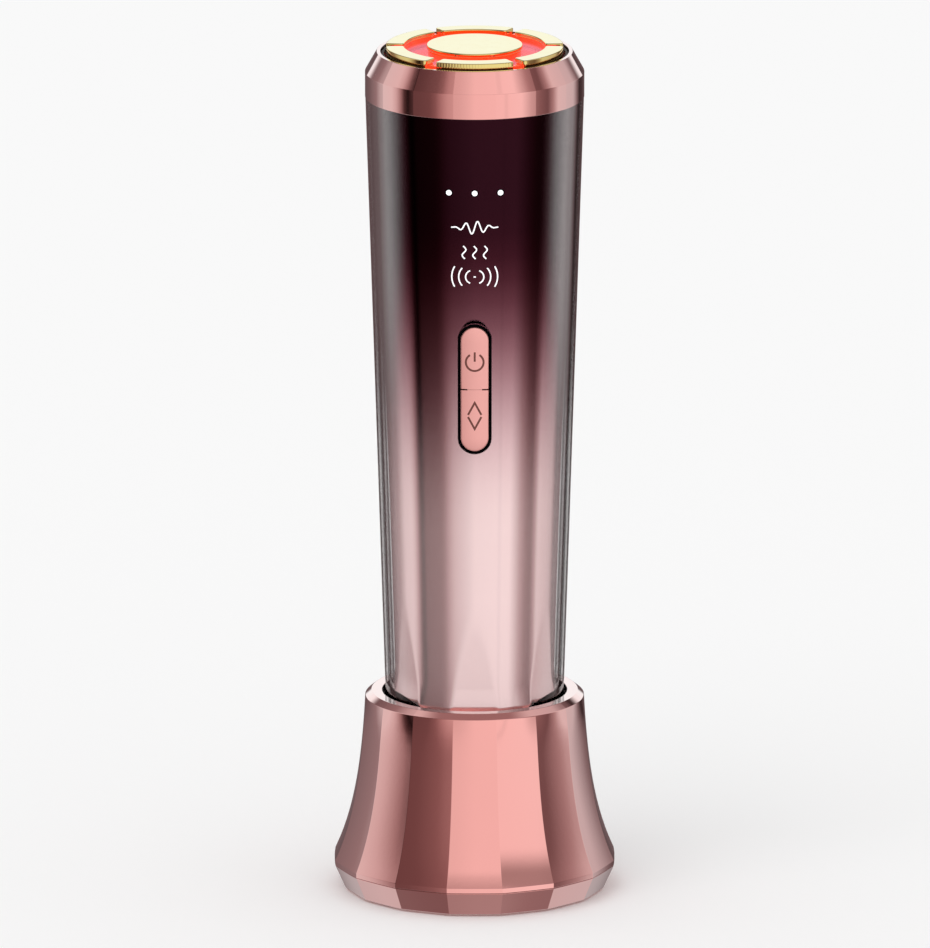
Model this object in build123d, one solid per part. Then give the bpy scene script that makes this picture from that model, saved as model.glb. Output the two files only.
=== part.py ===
from build123d import *
from math import cos, exp, pi, radians, sin, sqrt, tan
import os

# Facial care wand with a round electrode head, standing in its charging stand.
# Sizes are in millimetres. +Z is up, the keys face -Y, and the origin is the middle of the
# underside, on the surface that the stand rests on.

# Facets shared by the stand and the collar of the head
facet_count = 16

# Stand: foot tray
foot_lift = 0.5
foot_height = 5.5
foot_taper = 2.5
tray_floor = 3.0
tray_wall = 3.2
lip_height = 2.0
lip_gap = 0.15

# Stand: flared shell
band_height = 1.1
flare_height = 37.5
flare_sharpness = 2.2
flare_sections = 7
flare_spread = 7.1
rim_land = 2.42
rim_bevel = 1.5
rim_bevel_height = 1.2
rim_thickness = 1.8
stand_wall = 1.8

# Stand: cup that holds the wand
cup_depth = 27.8
cup_floor = 2.6
cup_wall = 1.4
wand_gap = 0.7
key_rib_width = 2.0
key_rib_depth = 1.6
key_rib_height = 2.6

# Stand: inside
weight_thickness = 5.0
weight_width = 8.5
weight_gap = 0.4
boss_radius = 3.0
boss_wall_gap = 0.34
casing_screw_length = 9.0
casing_screw_head_radius = 2.4
casing_screw_head_height = 1.3
casing_screw_shank_radius = 1.0
foot_pad_radius = 4.5
foot_pad_thickness = 1.7
foot_pad_circle_radius = 20.0
foot_pad_gap = 0.1
dock_board_length = 22.0
dock_board_width = 22.0
board_thickness = 1.2
board_post_radius = 2.2
board_post_inset = 0.5
board_tongue_margin = 1.0
board_tongue_setback = 2.0
cup_post_radius = 2.8
cup_post_gap = 1.0
cup_screw_length = 8.0
usb_width = 8.9
usb_height = 3.2
usb_depth = 7.3
usb_setback = 0.5
usb_gap_above = 0.3
usb_opening_gap = 0.2
usb_wall = 0.3
usb_back = 1.0
usb_tongue_inset = 1.2
usb_tongue_thickness = 0.7
usb_tongue_setback = 1.0

# Stand: charging pins
pin_count = 2
pin_pitch = 6.0
pin_radius = 0.55
pin_collar_radius = 0.75
pin_length = 4.6
pin_travel = 0.6
barrel_wall = 0.25
barrel_floor_room = 1.0
pin_block_width = 6.0
pin_block_recess = 0.1
pin_collar_height = 1.0
pin_gap = 0.08
pin_bore_gap = 0.1
barrel_recess = 0.4
barrel_lip = 0.8

# Wand: clear sleeve and colour-faded core
sleeve_length = 161.6
sleeve_top_radius = 24.65
sleeve_taper = 1.84
sleeve_wall = 1.1
core_gap = 0.15
core_wall = 1.4
core_rise = 24.0
core_tail_gap = 1.23
core_bow = 0.55
core_sections = 6
tail_flat_inset = 2.2
tail_flat_height = 20.0
tail_side_lift = 2.5

# Wand: tail cap
tail_cap_height = 4.0
tail_spigot_height = 6.0
tail_seal_height = 1.5
tail_seal_depth = 0.8
tail_seal_squeeze = 0.1
contact_radius = 1.8
contact_recess = 0.6

# Wand: collar and head
collar_overhang = 0.07
collar_side_height = 6.0
collar_chamfer_height = 4.8
collar_chamfer_width = 2.65
collar_lip = 0.82
collar_spigot_height = 4.0
collar_spigot_wall = 1.55
pocket_depth = 4.4
ledge_thickness = 1.2
ledge_overlap = 1.0
fit_gap = 0.15
seal_width = 0.75
seal_height = 3.6
guide_floor = 2.2
land_height = 2.1
land_margin = 0.3

# Wand: electrodes
arc_count = 6
arc_half_angle = 26.5
land_half_angle = arc_half_angle - 1
arc_width = 4.1
electrode_thickness = 0.9
skirt_wall = 0.8
skirt_height = 1.7
centre_gap = 5.15
centre_skirt_inset = 1.65
centre_skirt_height = 3.9
stud_radius = 0.8
electrode_edge = 0.25
transducer_thickness = 1.3
heater_width = 2.55
heater_thickness = 0.4
thermistor_length = 1.8
thermistor_width = 1.2
thermistor_height = 1.0

# Wand: parts under the electrodes
carrier_thickness = 1.4
flange_thickness = 2.0
head_screw_count = 3
head_screw_radius = 0.9
led_size = 1.6
led_height = 0.8
wire_hole_inset = 3.15
head_screw_head_radius = 1.9
head_screw_head_height = 1.2
head_screw_cover = 0.44
head_screw_tip_room = 0.22
flex_width = 8.0
flex_thickness = 0.3
flex_offset = 9.0
flex_bend = 1.5
flex_slot_depth = 2.4
flex_slot_gap = 0.6

# Wand: keys, with their middle measured down from the collar's lower edge
key_drop = 63.4
key_width = 6.35
key_length = 28.6
key_gap = 0.2
key_proud = 0.3
key_thickness = 1.5
key_slit = 0.22
key_slit_length = 1.53
key_swing = 1.5
plunger_radius = 1.3
plunger_margin = 0.06
bezel_ring = 0.45
bezel_proud = 0.12
bezel_flange_width = 1.5
bezel_flange_depth = 5.0
pad_thickness = 0.8
nub_radius = 1.5
switch_size = 6.0
switch_height = 3.1
stem_height = 1.0
stem_radius = 1.6
key_stack_depth = 10.4
key_opening_gap = 0.1
sleeve_cut_depth = 4.0
core_cut_setback = 2.0
cut_front = 2.0

# Wand: indicator lights, with their height measured down from the collar's lower edge
indicator_drop = 17.9
indicator_pitch = 5.8
indicator_radius = 0.7
indicator_led_width = 1.6
indicator_led_height = 1.0
indicator_led_proud = 0.7
pipe_overhang = 2.2
pipe_height = 2.4
pipe_leg = 1.0
pipe_bar_thickness = 1.2
pipe_bar_lift = 1.2

# Wand: frame, circuit board and battery
chassis_length = 122.0
chassis_plate = 2.0
chassis_gap = 1.0
rail_wall = 1.5
rail_reach = 7.0
board_length = 100.0
board_top_drop = 7.6
board_half_width = 10.5
board_corner = 1.5
board_boss_radius = 2.0
board_boss_inset = 3.0
low_boss_rise = 5.0
high_boss_drop = 20.0
board_screw_radius = 0.8
board_screw_length = 5.0
board_screw_head_height = 1.0
connector_drop = 4.0
connector_height = 3.2
connector_thickness = 1.4
coil_drop = 79.0
coil_radius = 5.0
coil_waist = 3.4
coil_flange = 0.8
coil_slope = 0.4
coil_height = 4.2
battery_thickness = 8.0
battery_length = 50.0
battery_drop = 55.0
lead_radius = 0.5
lead_spacing = 2.4
lead_straight = 1.0
lead_window_gap = 2.5
lead_window_size = 8.0
frame_window_height = 9.0
frame_window_width = 16.0
frame_window_bar = 4.0
frame_window_edge = 6.0

# Clearances round screws and pins
screw_clearance = 0.3
thread_clearance = 0.05

# Reach of the cutting blocks past the part
beyond = 60.0


# Heights in the stand
tray_top = foot_lift + foot_height
tray_floor_top = foot_lift + tray_floor
band_top = tray_top + band_height
shoulder = band_top + flare_height
rim_top = shoulder + rim_bevel_height
cup_top = rim_top - rim_thickness
cup_floor_top = rim_top - cup_depth
cup_underside = cup_floor_top - cup_floor
dock_board_top = cup_underside - usb_gap_above - usb_height
dock_board_low = dock_board_top - board_thickness

# Heights in the wand, as it stands in the cup
tail_low = cup_floor_top
sleeve_low = tail_low + tail_cap_height
sleeve_top = sleeve_low + sleeve_length
core_low = sleeve_low + core_rise
collar_edge = sleeve_top + collar_side_height
collar_top = collar_edge + collar_chamfer_height
guide_low = collar_top - pocket_depth
guide_top = guide_low + guide_floor
land_top = guide_top + land_height
electrode_top = land_top + electrode_thickness
led_board_top = guide_low - ledge_thickness
led_board_low = led_board_top - board_thickness
carrier_low = led_board_low - carrier_thickness
flange_low = carrier_low - flange_thickness
key_height = sleeve_top - key_drop
indicator_height = sleeve_top - indicator_drop
chassis_low = flange_low - chassis_length
board_top = sleeve_top - board_top_drop
battery_top = sleeve_top - battery_drop

# Radii and widths that follow from the sleeve
corner_to_flat = cos(pi / facet_count)
taper_slope = tan(radians(sleeve_taper))
core_top_radius = sleeve_top_radius - sleeve_wall - core_gap
collar_flat = sleeve_top_radius + collar_overhang
collar_top_flat = collar_flat - collar_chamfer_width
pocket_radius = collar_top_flat - collar_lip
seal_radius = pocket_radius - fit_gap
guide_radius = seal_radius - seal_width - fit_gap
ring_radius = guide_radius - fit_gap
ring_inner_radius = ring_radius - arc_width
centre_radius = ring_inner_radius - centre_gap
skirt_radius = centre_radius - centre_skirt_inset
ledge_radius = guide_radius - ledge_overlap
led_board_radius = ledge_radius - 2 * fit_gap
land_inner_radius = ring_inner_radius + land_margin
land_outer_radius = ring_radius - skirt_wall - fit_gap
head_screw_circle_radius = (centre_radius + ring_inner_radius) / 2
stud_circle_radius = (land_inner_radius + land_outer_radius) / 2
transducer_radius = skirt_radius - skirt_wall - 2 * fit_gap - heater_width
wire_hole_radius = skirt_radius - wire_hole_inset


def sleeve_radius(height):
    """Outer radius of the tapered sleeve at a height."""
    return sleeve_top_radius - (sleeve_top - height) * taper_slope


mouth_radius = sleeve_radius(rim_top) + wand_gap
shoulder_corner_radius = (mouth_radius + rim_land) / corner_to_flat + rim_bevel
widest_corner_radius = shoulder_corner_radius + flare_spread
foot_corner_radius = widest_corner_radius - foot_taper
tray_inner_radius = widest_corner_radius - tray_wall
screw_circle_radius = tray_inner_radius * corner_to_flat - boss_radius - boss_wall_gap
weight_radius = tray_inner_radius * corner_to_flat - weight_gap
core_tail_radius = sleeve_radius(core_low) - sleeve_wall - core_tail_gap
tail_column_radius = core_tail_radius - tail_flat_inset - core_wall - 2 * fit_gap


def core_pull_radius():
    """Radius of the curve point that bows the core's side inwards."""
    return (core_tail_radius + core_top_radius) / 2 - 2 * core_bow


def core_radius(height):
    """Outer radius of the bowed core at a height."""
    share = (height - core_low) / (sleeve_top - core_low)
    low_part = (1 - share) ** 2 * core_tail_radius
    middle_part = 2 * share * (1 - share) * core_pull_radius()
    return low_part + middle_part + share ** 2 * core_top_radius


spigot_radius = core_radius(sleeve_top - collar_spigot_height) - core_wall - fit_gap
spigot_bore_radius = spigot_radius - collar_spigot_wall
carrier_radius = spigot_bore_radius - fit_gap


def flare_radius(height):
    """Corner radius of the stand's flare at a height."""
    share = (height - band_top) / flare_height
    floor = exp(-flare_sharpness)
    fall = (exp(-flare_sharpness * share) - floor) / (1 - floor)
    return shoulder_corner_radius + (widest_corner_radius - shoulder_corner_radius) * fall


def disc(radius, low, high, at=(0, 0)):
    """Upright cylinder between two heights."""
    return extrude(Pos(at[0], at[1], low) * Circle(radius), high - low)


def tube(inner, outer, low, high):
    """Upright tube between two heights."""
    return disc(outer, low, high) - disc(inner, low, high)


def block(low_corner, high_corner):
    """Box between two opposite corners."""
    size = [high - low for low, high in zip(low_corner, high_corner)]
    middle = [(high + low) / 2 for low, high in zip(low_corner, high_corner)]
    return Pos(*middle) * Box(*size)


def slab(low, high):
    """Block that reaches past the whole part, between two heights."""
    return block((-beyond, -beyond, low), (beyond, beyond, high))


def cone(low_radius, high_radius, low, high):
    """Upright cone stump between two heights."""
    outline = Polyline((0, low), (low_radius, low), (high_radius, high), (0, high), close=True)
    return revolve(Plane.XZ * make_face(outline), Axis.Z)


def polygon_at(corner_radius, height):
    """Facet outline with one flat facing the front."""
    turn = 180 / facet_count
    return Pos(0, 0, height) * RegularPolygon(corner_radius, facet_count, rotation=turn)


def faceted(levels, smooth=False):
    """Solid through facet outlines, given as pairs of height and corner radius."""
    return loft([polygon_at(radius, height) for height, radius in levels], ruled=not smooth)


def around(radius, count, first_angle=0):
    """Points spaced evenly on a circle."""
    angles = [radians(first_angle + 360 / count * index) for index in range(count)]
    return [(radius * cos(angle), radius * sin(angle)) for angle in angles]


def ring_sector(inner, outer, half_angle, low, high):
    """Sector of a ring, centred on +X, between two heights."""
    reach = 2 * outer
    far_x = reach * cos(radians(half_angle))
    far_y = reach * sin(radians(half_angle))
    wedge = make_face(Polyline((0, 0), (far_x, -far_y), (far_x, far_y), close=True))
    return extrude(Pos(0, 0, low) * ((Circle(outer) - Circle(inner)) & wedge), high - low)


def screw_down(at, head_top, head_height, head_radius, shank_radius, tip):
    """Pan-head screw whose head is up."""
    head = disc(head_radius, head_top - head_height, head_top, at)
    return head + disc(shank_radius, tip, head_top - head_height, at)


def screw_up(at, head_low, head_height, head_radius, shank_radius, tip):
    """Pan-head screw whose head is down."""
    head = disc(head_radius, head_low, head_low + head_height, at)
    return head + disc(shank_radius, head_low + head_height, tip, at)


def group(solids):
    """One compound of separate solids."""
    return Compound(children=[Part() + solid for solid in solids])


# Stand

boss_points = around(screw_circle_radius, 4, 45)
foot_points = around(foot_pad_circle_radius, 4)
cup_post_points = [(dock_board_width / 2 + cup_post_radius + cup_post_gap) * side for side in (-1, 1)]
board_post_x = dock_board_width / 2 - board_post_radius - board_post_inset
board_post_y = dock_board_length / 2 - board_post_radius - board_post_inset
board_post_points = [(x * board_post_x, y * board_post_y) for x in (-1, 1) for y in (-1, 1)]


def shell_levels(inset):
    """Heights and corner radii of the flare, moved in by a wall."""
    section = flare_height / (flare_sections - 1)
    heights = [band_top + section * index for index in range(flare_sections)]
    return [(height, flare_radius(height) - inset) for height in heights]


def shell_solid(inset, top):
    """Band and flare of the stand as one solid, moved in by a wall."""
    band = [(tray_top, widest_corner_radius - inset), (band_top, widest_corner_radius - inset)]
    flare = faceted(shell_levels(inset), smooth=True)
    return (faceted(band) + flare) & slab(tray_top, top)


def usb_mouth():
    """Distance of the socket's mouth from the axis."""
    return flare_radius(dock_board_top + usb_height) * corner_to_flat - usb_setback


def usb_outline(gap):
    """Rounded outline of the socket, grown by a gap, seen from behind."""
    outline = SlotOverall(usb_width + 2 * gap, usb_height + 2 * gap)
    middle = (0, usb_mouth(), dock_board_top + usb_height / 2)
    return Plane(middle, x_dir=(-1, 0, 0), z_dir=(0, 1, 0)) * outline


def stand_shell():
    """Flared casing with its rim, screw bosses and the opening for the socket."""
    outer = shell_solid(0, shoulder)
    bevel = [(shoulder, shoulder_corner_radius), (rim_top, shoulder_corner_radius - rim_bevel)]
    outer += faceted(bevel)
    shell = outer - shell_solid(stand_wall / corner_to_flat, cup_top)
    shell -= disc(mouth_radius, cup_top - rim_thickness, rim_top)
    for point in boss_points:
        shell += disc(boss_radius, tray_top, band_top + flare_height / 2, point) & outer
        shell += disc(boss_radius, tray_floor_top, tray_top, point)
        pilot_radius = casing_screw_shank_radius + thread_clearance
        shell -= disc(pilot_radius, tray_floor_top, tray_floor_top + casing_screw_length, point)
    shell -= extrude(usb_outline(usb_opening_gap), 2 * stand_wall + usb_setback, both=True)
    return shell


def stand_foot():
    """Faceted tray under the shell, with its lip, posts and foot recesses."""
    tray = faceted([(foot_lift, foot_corner_radius), (tray_top, widest_corner_radius)])
    lip_radius = flare_radius(tray_top + lip_height) - stand_wall / corner_to_flat - lip_gap
    tray += faceted([(tray_top, lip_radius), (tray_top + lip_height, lip_radius)])
    tray -= faceted([(tray_floor_top, tray_inner_radius), (tray_top + lip_height, tray_inner_radius)])
    for point in board_post_points:
        tray += disc(board_post_radius, tray_floor_top, dock_board_low, point)
    for x in cup_post_points:
        tray += disc(cup_post_radius, tray_floor_top, cup_underside, (x, 0))
        pilot_radius = casing_screw_shank_radius + thread_clearance
        tray -= disc(pilot_radius, cup_underside - cup_screw_length, cup_underside, (x, 0))
    for point in foot_points:
        tray -= disc(foot_pad_radius + foot_pad_gap, foot_lift, foot_pad_thickness, point)
    for point in boss_points:
        head_top = foot_lift + casing_screw_head_height + screw_clearance
        tray -= disc(casing_screw_head_radius + screw_clearance, foot_lift, head_top, point)
        tray -= disc(casing_screw_shank_radius + screw_clearance, foot_lift, tray_floor_top, point)
    return tray


def stand_weight():
    """Steel ring that keeps the stand from tipping, notched round the screw bosses."""
    ring = tube(weight_radius - weight_width, weight_radius, tray_floor_top,
                tray_floor_top + weight_thickness)
    for point in boss_points:
        ring -= disc(boss_radius + screw_clearance, tray_floor_top,
                     tray_floor_top + weight_thickness, point)
    return ring


def rubber_feet():
    """Four pads pressed into the underside."""
    return group([disc(foot_pad_radius, 0, foot_pad_thickness, point) for point in foot_points])


def base_screws():
    """Screws from the underside into the shell's bosses."""
    head_low = foot_lift + screw_clearance
    tip = tray_floor_top + casing_screw_length - screw_clearance
    return group([screw_up(point, head_low, casing_screw_head_height, casing_screw_head_radius,
                           casing_screw_shank_radius, tip) for point in boss_points])


def pin_block_size():
    """Length of the pin block along X."""
    return pin_pitch * (pin_count - 1) + pin_block_width


def stand_cup():
    """Black liner that guides the wand, with a rib that sets which way it faces."""
    low_inner = sleeve_radius(cup_floor_top) + wand_gap
    top_inner = sleeve_radius(cup_top) + wand_gap
    cup = cone(low_inner + cup_wall, top_inner + cup_wall, cup_underside, cup_top)
    cup -= cone(low_inner, top_inner, cup_floor_top, cup_top)
    rib_low = (-key_rib_width / 2, low_inner - key_rib_depth, cup_floor_top)
    rib_high = (key_rib_width / 2, low_inner + cup_wall / 2, cup_floor_top + key_rib_height)
    cup += block(rib_low, rib_high)
    half_x = pin_block_size() / 2 + fit_gap
    half_y = pin_block_width / 2 + fit_gap
    cup -= block((-half_x, -half_y, cup_underside), (half_x, half_y, cup_floor_top))
    for x in cup_post_points:
        head_low = cup_floor_top - casing_screw_head_height - screw_clearance
        cup -= disc(casing_screw_head_radius + screw_clearance, head_low, cup_floor_top, (x, 0))
        cup -= disc(casing_screw_shank_radius + screw_clearance, cup_underside, cup_floor_top, (x, 0))
    return cup


def cup_screws():
    """Screws from inside the cup into the tray's posts."""
    head_top = cup_floor_top - screw_clearance
    tip = cup_underside - cup_screw_length + screw_clearance
    return group([screw_down((x, 0), head_top, casing_screw_head_height, casing_screw_head_radius,
                             casing_screw_shank_radius, tip) for x in cup_post_points])


def dock_board():
    """Circuit board on the tray's posts, with a tongue under the socket."""
    half_x = dock_board_width / 2
    half_y = dock_board_length / 2
    board = block((-half_x, -half_y, dock_board_low), (half_x, half_y, dock_board_top))
    tongue_half = usb_width / 2 + board_tongue_margin
    tongue_end = usb_mouth() - board_tongue_setback
    board += block((-tongue_half, half_y, dock_board_low), (tongue_half, tongue_end, dock_board_top))
    return board


def usb_socket():
    """Charging socket at the back of the stand, open at its mouth, with its tongue."""
    socket = extrude(usb_outline(0), -usb_depth)
    bore = extrude(usb_outline(-usb_wall), -(usb_depth - usb_back))
    tongue_half = usb_width / 2 - usb_tongue_inset
    blade_bottom = dock_board_top + (usb_height - usb_tongue_thickness) / 2
    blade_low = (-tongue_half, usb_mouth() - usb_depth + usb_back / 2, blade_bottom)
    blade_high = (tongue_half, usb_mouth() - usb_tongue_setback, blade_bottom + usb_tongue_thickness)
    return socket - bore + block(blade_low, blade_high)


def pin_points():
    """Places of the charging pins across the block."""
    return [((index - (pin_count - 1) / 2) * pin_pitch, 0) for index in range(pin_count)]


pin_top = tail_low + contact_recess
pin_low = pin_top - pin_length
barrel_top = cup_floor_top - barrel_recess
pin_block_top = cup_floor_top - pin_block_recess
pin_bore_radius = pin_collar_radius + pin_bore_gap
barrel_radius = pin_bore_radius + barrel_wall
barrel_floor = pin_low - pin_travel - barrel_floor_room


def pin_housing():
    """Black block on the board that holds the pin barrels."""
    half_x = pin_block_size() / 2
    half_y = pin_block_width / 2
    housing = block((-half_x, -half_y, dock_board_top), (half_x, half_y, pin_block_top))
    for point in pin_points():
        housing -= disc(barrel_radius + thread_clearance, dock_board_top, pin_block_top, point)
    return housing


def pogo_barrels():
    """Brass barrels, each with a narrow mouth that keeps its pin in."""
    barrels = []
    for point in pin_points():
        barrel = disc(barrel_radius, dock_board_top, barrel_top, point)
        barrel -= disc(pin_bore_radius, barrel_floor, barrel_top - barrel_lip, point)
        barrel -= disc(pin_radius + pin_gap, barrel_floor, barrel_top, point)
        barrels.append(barrel)
    return group(barrels)


def charge_pins():
    """Sprung pins whose collars stay inside the barrels."""
    pins = []
    for point in pin_points():
        pin = disc(pin_radius, pin_low, pin_top, point)
        pin += disc(pin_collar_radius, pin_low, pin_low + pin_collar_height, point)
        pins.append(pin)
    return group(pins)


# Wand body

def sleeve_solid(inset, low, high):
    """Solid with the sleeve's taper, moved in by a wall."""
    return cone(sleeve_radius(low) - inset, sleeve_radius(high) - inset, low, high)


def core_solid(inset, low, high):
    """Bowed core solid, cut to six flats towards its tail, moved in by a wall."""
    section = (sleeve_top - core_low) / core_sections
    heights = [core_low + section * index for index in range(core_sections + 1)]
    side = [(core_radius(height) - inset, height) for height in heights]
    outline = Polyline(*side, (0, sleeve_top), (0, core_low), close=True)
    body = revolve(Plane.XZ * make_face(outline), Axis.Z)
    low_flat = core_radius(core_low) - tail_flat_inset - inset
    flat_top = core_low + tail_flat_height
    rise = (core_radius(flat_top) - inset - low_flat) / tail_flat_height
    top_flat = low_flat + rise * (sleeve_top - core_low)
    corner = cos(pi / 6)
    hexagon_low = Pos(0, 0, core_low) * RegularPolygon(low_flat / corner, 6)
    hexagon_top = Pos(0, 0, sleeve_top) * RegularPolygon(top_flat / corner, 6)
    body = body & loft([hexagon_low, hexagon_top], ruled=True)
    return body & slab(low, high)


def key_plane(depth=0.0):
    """Plane across the sleeve's front at the keys, moved in by a depth."""
    tilt = radians(sleeve_taper)
    outward = Vector(0, -cos(tilt), -sin(tilt))
    middle = Vector(0, -sleeve_radius(key_height), key_height)
    return Plane(middle - outward * depth, x_dir=(1, 0, 0), z_dir=outward)


def key_outline(grow):
    """Upright stadium of the key, grown by a margin."""
    return Rot(0, 0, 90) * SlotOverall(key_length + 2 * grow, key_width + 2 * grow)


def key_prism(grow, front, depth):
    """Stadium prism from a depth in front of the sleeve to a depth behind it."""
    return extrude(key_plane(depth) * key_outline(grow), depth + front)


def outer_sleeve():
    """Clear tapered sleeve with the opening for the key."""
    sleeve = sleeve_solid(0, sleeve_low, sleeve_top)
    sleeve -= sleeve_solid(sleeve_wall, sleeve_low, sleeve_top)
    return sleeve - key_prism(opening_grow, cut_front, sleeve_cut_depth)


def indicator_places():
    """Places of the three indicator lights across the front."""
    return [index * indicator_pitch for index in (-1, 0, 1)]


def inner_core():
    """Coloured core under the sleeve, open at both ends, its tail cut up at the sides."""
    core = core_solid(0, core_low, sleeve_top) - core_solid(core_wall, core_low, sleeve_top)
    ramp_start = (core_tail_radius - tail_flat_inset) * tan(pi / 6)
    ramp_end = core_tail_radius + core_wall
    for side in (-1, 1):
        ramp = Polyline((side * ramp_start, core_low - core_wall), (side * ramp_end, core_low - core_wall),
                        (side * ramp_end, core_low + tail_side_lift), (side * ramp_start, core_low),
                        close=True)
        core -= extrude(Plane.XZ * make_face(ramp), ramp_end, both=True)
    core -= key_prism(opening_grow, cut_front, core_cut_depth)
    for x in indicator_places():
        core -= light_rod(x, indicator_radius + thread_clearance, core_top_radius)
    return core


def light_rod(x, radius, length):
    """Rod along Y from the middle of the wand out to the front."""
    place = Plane((x, 0, indicator_height), x_dir=(1, 0, 0), z_dir=(0, -1, 0))
    return extrude(place * Circle(radius), length)


def tail_cap():
    """Black end cap: skirt, sealing spigot, column and the plug that holds the core."""
    cap = sleeve_solid(0, tail_low, sleeve_low)
    spigot_top = sleeve_low + tail_spigot_height
    cap += sleeve_solid(sleeve_wall + fit_gap, sleeve_low, spigot_top)
    cap += disc(tail_column_radius, sleeve_low, core_low)
    cap += core_solid(core_wall + fit_gap, core_low, core_low + tail_cap_height)
    cap -= tail_seal_ring(tail_seal_depth, sleeve_wall)
    inner = sleeve_radius(cup_floor_top) + wand_gap - key_rib_depth - screw_clearance
    half = key_rib_width / 2 + screw_clearance
    notch_top = tail_low + key_rib_height + screw_clearance
    cap -= block((-half, inner, tail_low), (half, beyond, notch_top))
    for point in pin_points():
        cap -= disc(contact_radius + thread_clearance, tail_low, tail_low + 2 * contact_recess, point)
    return cap


def tail_seal_ring(depth, reach):
    """Ring in the spigot's groove, from a depth below its surface to a reach above it."""
    middle = sleeve_low + tail_spigot_height / 2
    outer = sleeve_radius(middle) - sleeve_wall - fit_gap
    half = tail_seal_height / 2
    return tube(outer - depth, outer + reach, middle - half, middle + half)


def contact_pads():
    """Gold pads set into the tail, over the stand's pins."""
    low = tail_low + contact_recess
    return group([disc(contact_radius, low, low + contact_recess, point) for point in pin_points()])


# Wand head

stud_places = around(stud_circle_radius, arc_count, -90)
head_screw_places = around(head_screw_circle_radius, head_screw_count, 90)
arc_angles = [-90 + 360 / arc_count * index for index in range(arc_count)]
arc_end_radius = skirt_wall - 0.1
head_screw_pilot_top = guide_top - head_screw_cover


def flex_slot(low, high):
    """Cutter for the slot that the ribbon passes through."""
    half_x = flex_width / 2 + flex_slot_gap
    near = -flex_offset - flex_slot_depth / 2
    return block((-half_x, near, low), (half_x, near + flex_slot_depth, high))


def head_collar():
    """Faceted collar with its pocket, ledge and spigot."""
    corner = collar_flat / corner_to_flat
    top_corner = collar_top_flat / corner_to_flat
    collar = faceted([(sleeve_top, corner), (collar_edge, corner), (collar_top, top_corner)])
    collar += disc(spigot_radius, sleeve_top - collar_spigot_height, sleeve_top)
    collar -= disc(pocket_radius, guide_low, collar_top)
    collar -= disc(ledge_radius, led_board_top, guide_low)
    return collar - disc(spigot_bore_radius, sleeve_top - collar_spigot_height, led_board_top)


def head_seal():
    """Black gasket between the collar and the light guide."""
    return tube(seal_radius - seal_width, seal_radius, guide_low, guide_low + seal_height)


def light_guide():
    """Translucent floor with raised lands that carry and light the electrodes."""
    guide = disc(guide_radius, guide_low, guide_top)
    for angle in arc_angles:
        land = ring_sector(land_inner_radius, land_outer_radius, land_half_angle, guide_top, land_top)
        guide += Rot(0, 0, angle) * land
    guide += disc(centre_radius - land_margin, guide_top, land_top)
    guide -= disc(skirt_radius + fit_gap, guide_low, land_top)
    for point in stud_places:
        guide -= disc(stud_radius + thread_clearance, guide_low, land_top, point)
    for point in head_screw_places:
        guide -= disc(head_screw_radius + thread_clearance, guide_low, head_screw_pilot_top, point)
    return guide


def electrode_centre():
    """Round centre electrode with the skirt that locates it."""
    plate = disc(centre_radius, land_top, electrode_top)
    plate = chamfer(plate.edges().sort_by(Axis.Z)[-1], electrode_edge)
    skirt_low = land_top - centre_skirt_height
    return plate + tube(skirt_radius - skirt_wall, skirt_radius, skirt_low, land_top)


def electrode_arc(angle):
    """Arc electrode with rounded ends, an outer skirt and the stud it is fixed by."""
    skirt_inner = ring_radius - skirt_wall
    arc = ring_sector(ring_inner_radius, ring_radius, arc_half_angle, land_top, electrode_top)
    skirt = ring_sector(skirt_inner, ring_radius, arc_half_angle, land_top - skirt_height, land_top)
    arc = fillet(arc.edges().filter_by(Axis.Z), arc_end_radius)
    arc = chamfer(arc.faces().sort_by(Axis.Z)[-1].edges(), electrode_edge)
    outer_edges = skirt.edges().filter_by(Axis.Z).sort_by_distance((0, 0, 0))[-2:]
    skirt = fillet(outer_edges, arc_end_radius)
    stud = disc(stud_radius, led_board_low, land_top, (stud_circle_radius, 0))
    return Rot(0, 0, angle) * (arc + skirt + stud)


def transducer():
    """Ceramic disc bonded under the centre electrode."""
    return disc(transducer_radius, land_top - transducer_thickness, land_top)


def heater_film():
    """Heating ring bonded under the centre electrode, round the transducer."""
    inner = transducer_radius + fit_gap
    outer = skirt_radius - skirt_wall - fit_gap
    return tube(inner, outer, land_top - heater_thickness, land_top)


def thermistor():
    """Bead that reads the heater's temperature."""
    middle = (transducer_radius + skirt_radius - skirt_wall) / 2
    high = land_top - heater_thickness
    half_x = thermistor_length / 2
    half_y = thermistor_width / 2
    return block((middle - half_x, -half_y, high - thermistor_height), (middle + half_x, half_y, high))


def led_board():
    """Ring-shaped circuit board under the light guide."""
    board = tube(wire_hole_radius, led_board_radius, led_board_low, led_board_top)
    for point in stud_places:
        board -= disc(stud_radius + thread_clearance, led_board_low, led_board_top, point)
    for point in head_screw_places:
        board -= disc(head_screw_radius + screw_clearance, led_board_low, led_board_top, point)
    return board


def red_leds():
    """Red lamps: two under each arc electrode, and a ring under the centre one."""
    lamp = block((-led_size / 2, -led_size / 2, led_board_top),
                 (led_size / 2, led_size / 2, led_board_top + led_height))
    lamps = []
    for angle in arc_angles:
        for side in (-1, 1):
            turn = Rot(0, 0, angle + side * arc_half_angle / 2)
            lamps.append(turn * Pos(stud_circle_radius, 0, 0) * lamp)
    for angle in arc_angles:
        lamps.append(Rot(0, 0, angle) * Pos(skirt_radius + led_size / 2, 0, 0) * lamp)
    return group(lamps)


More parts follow.
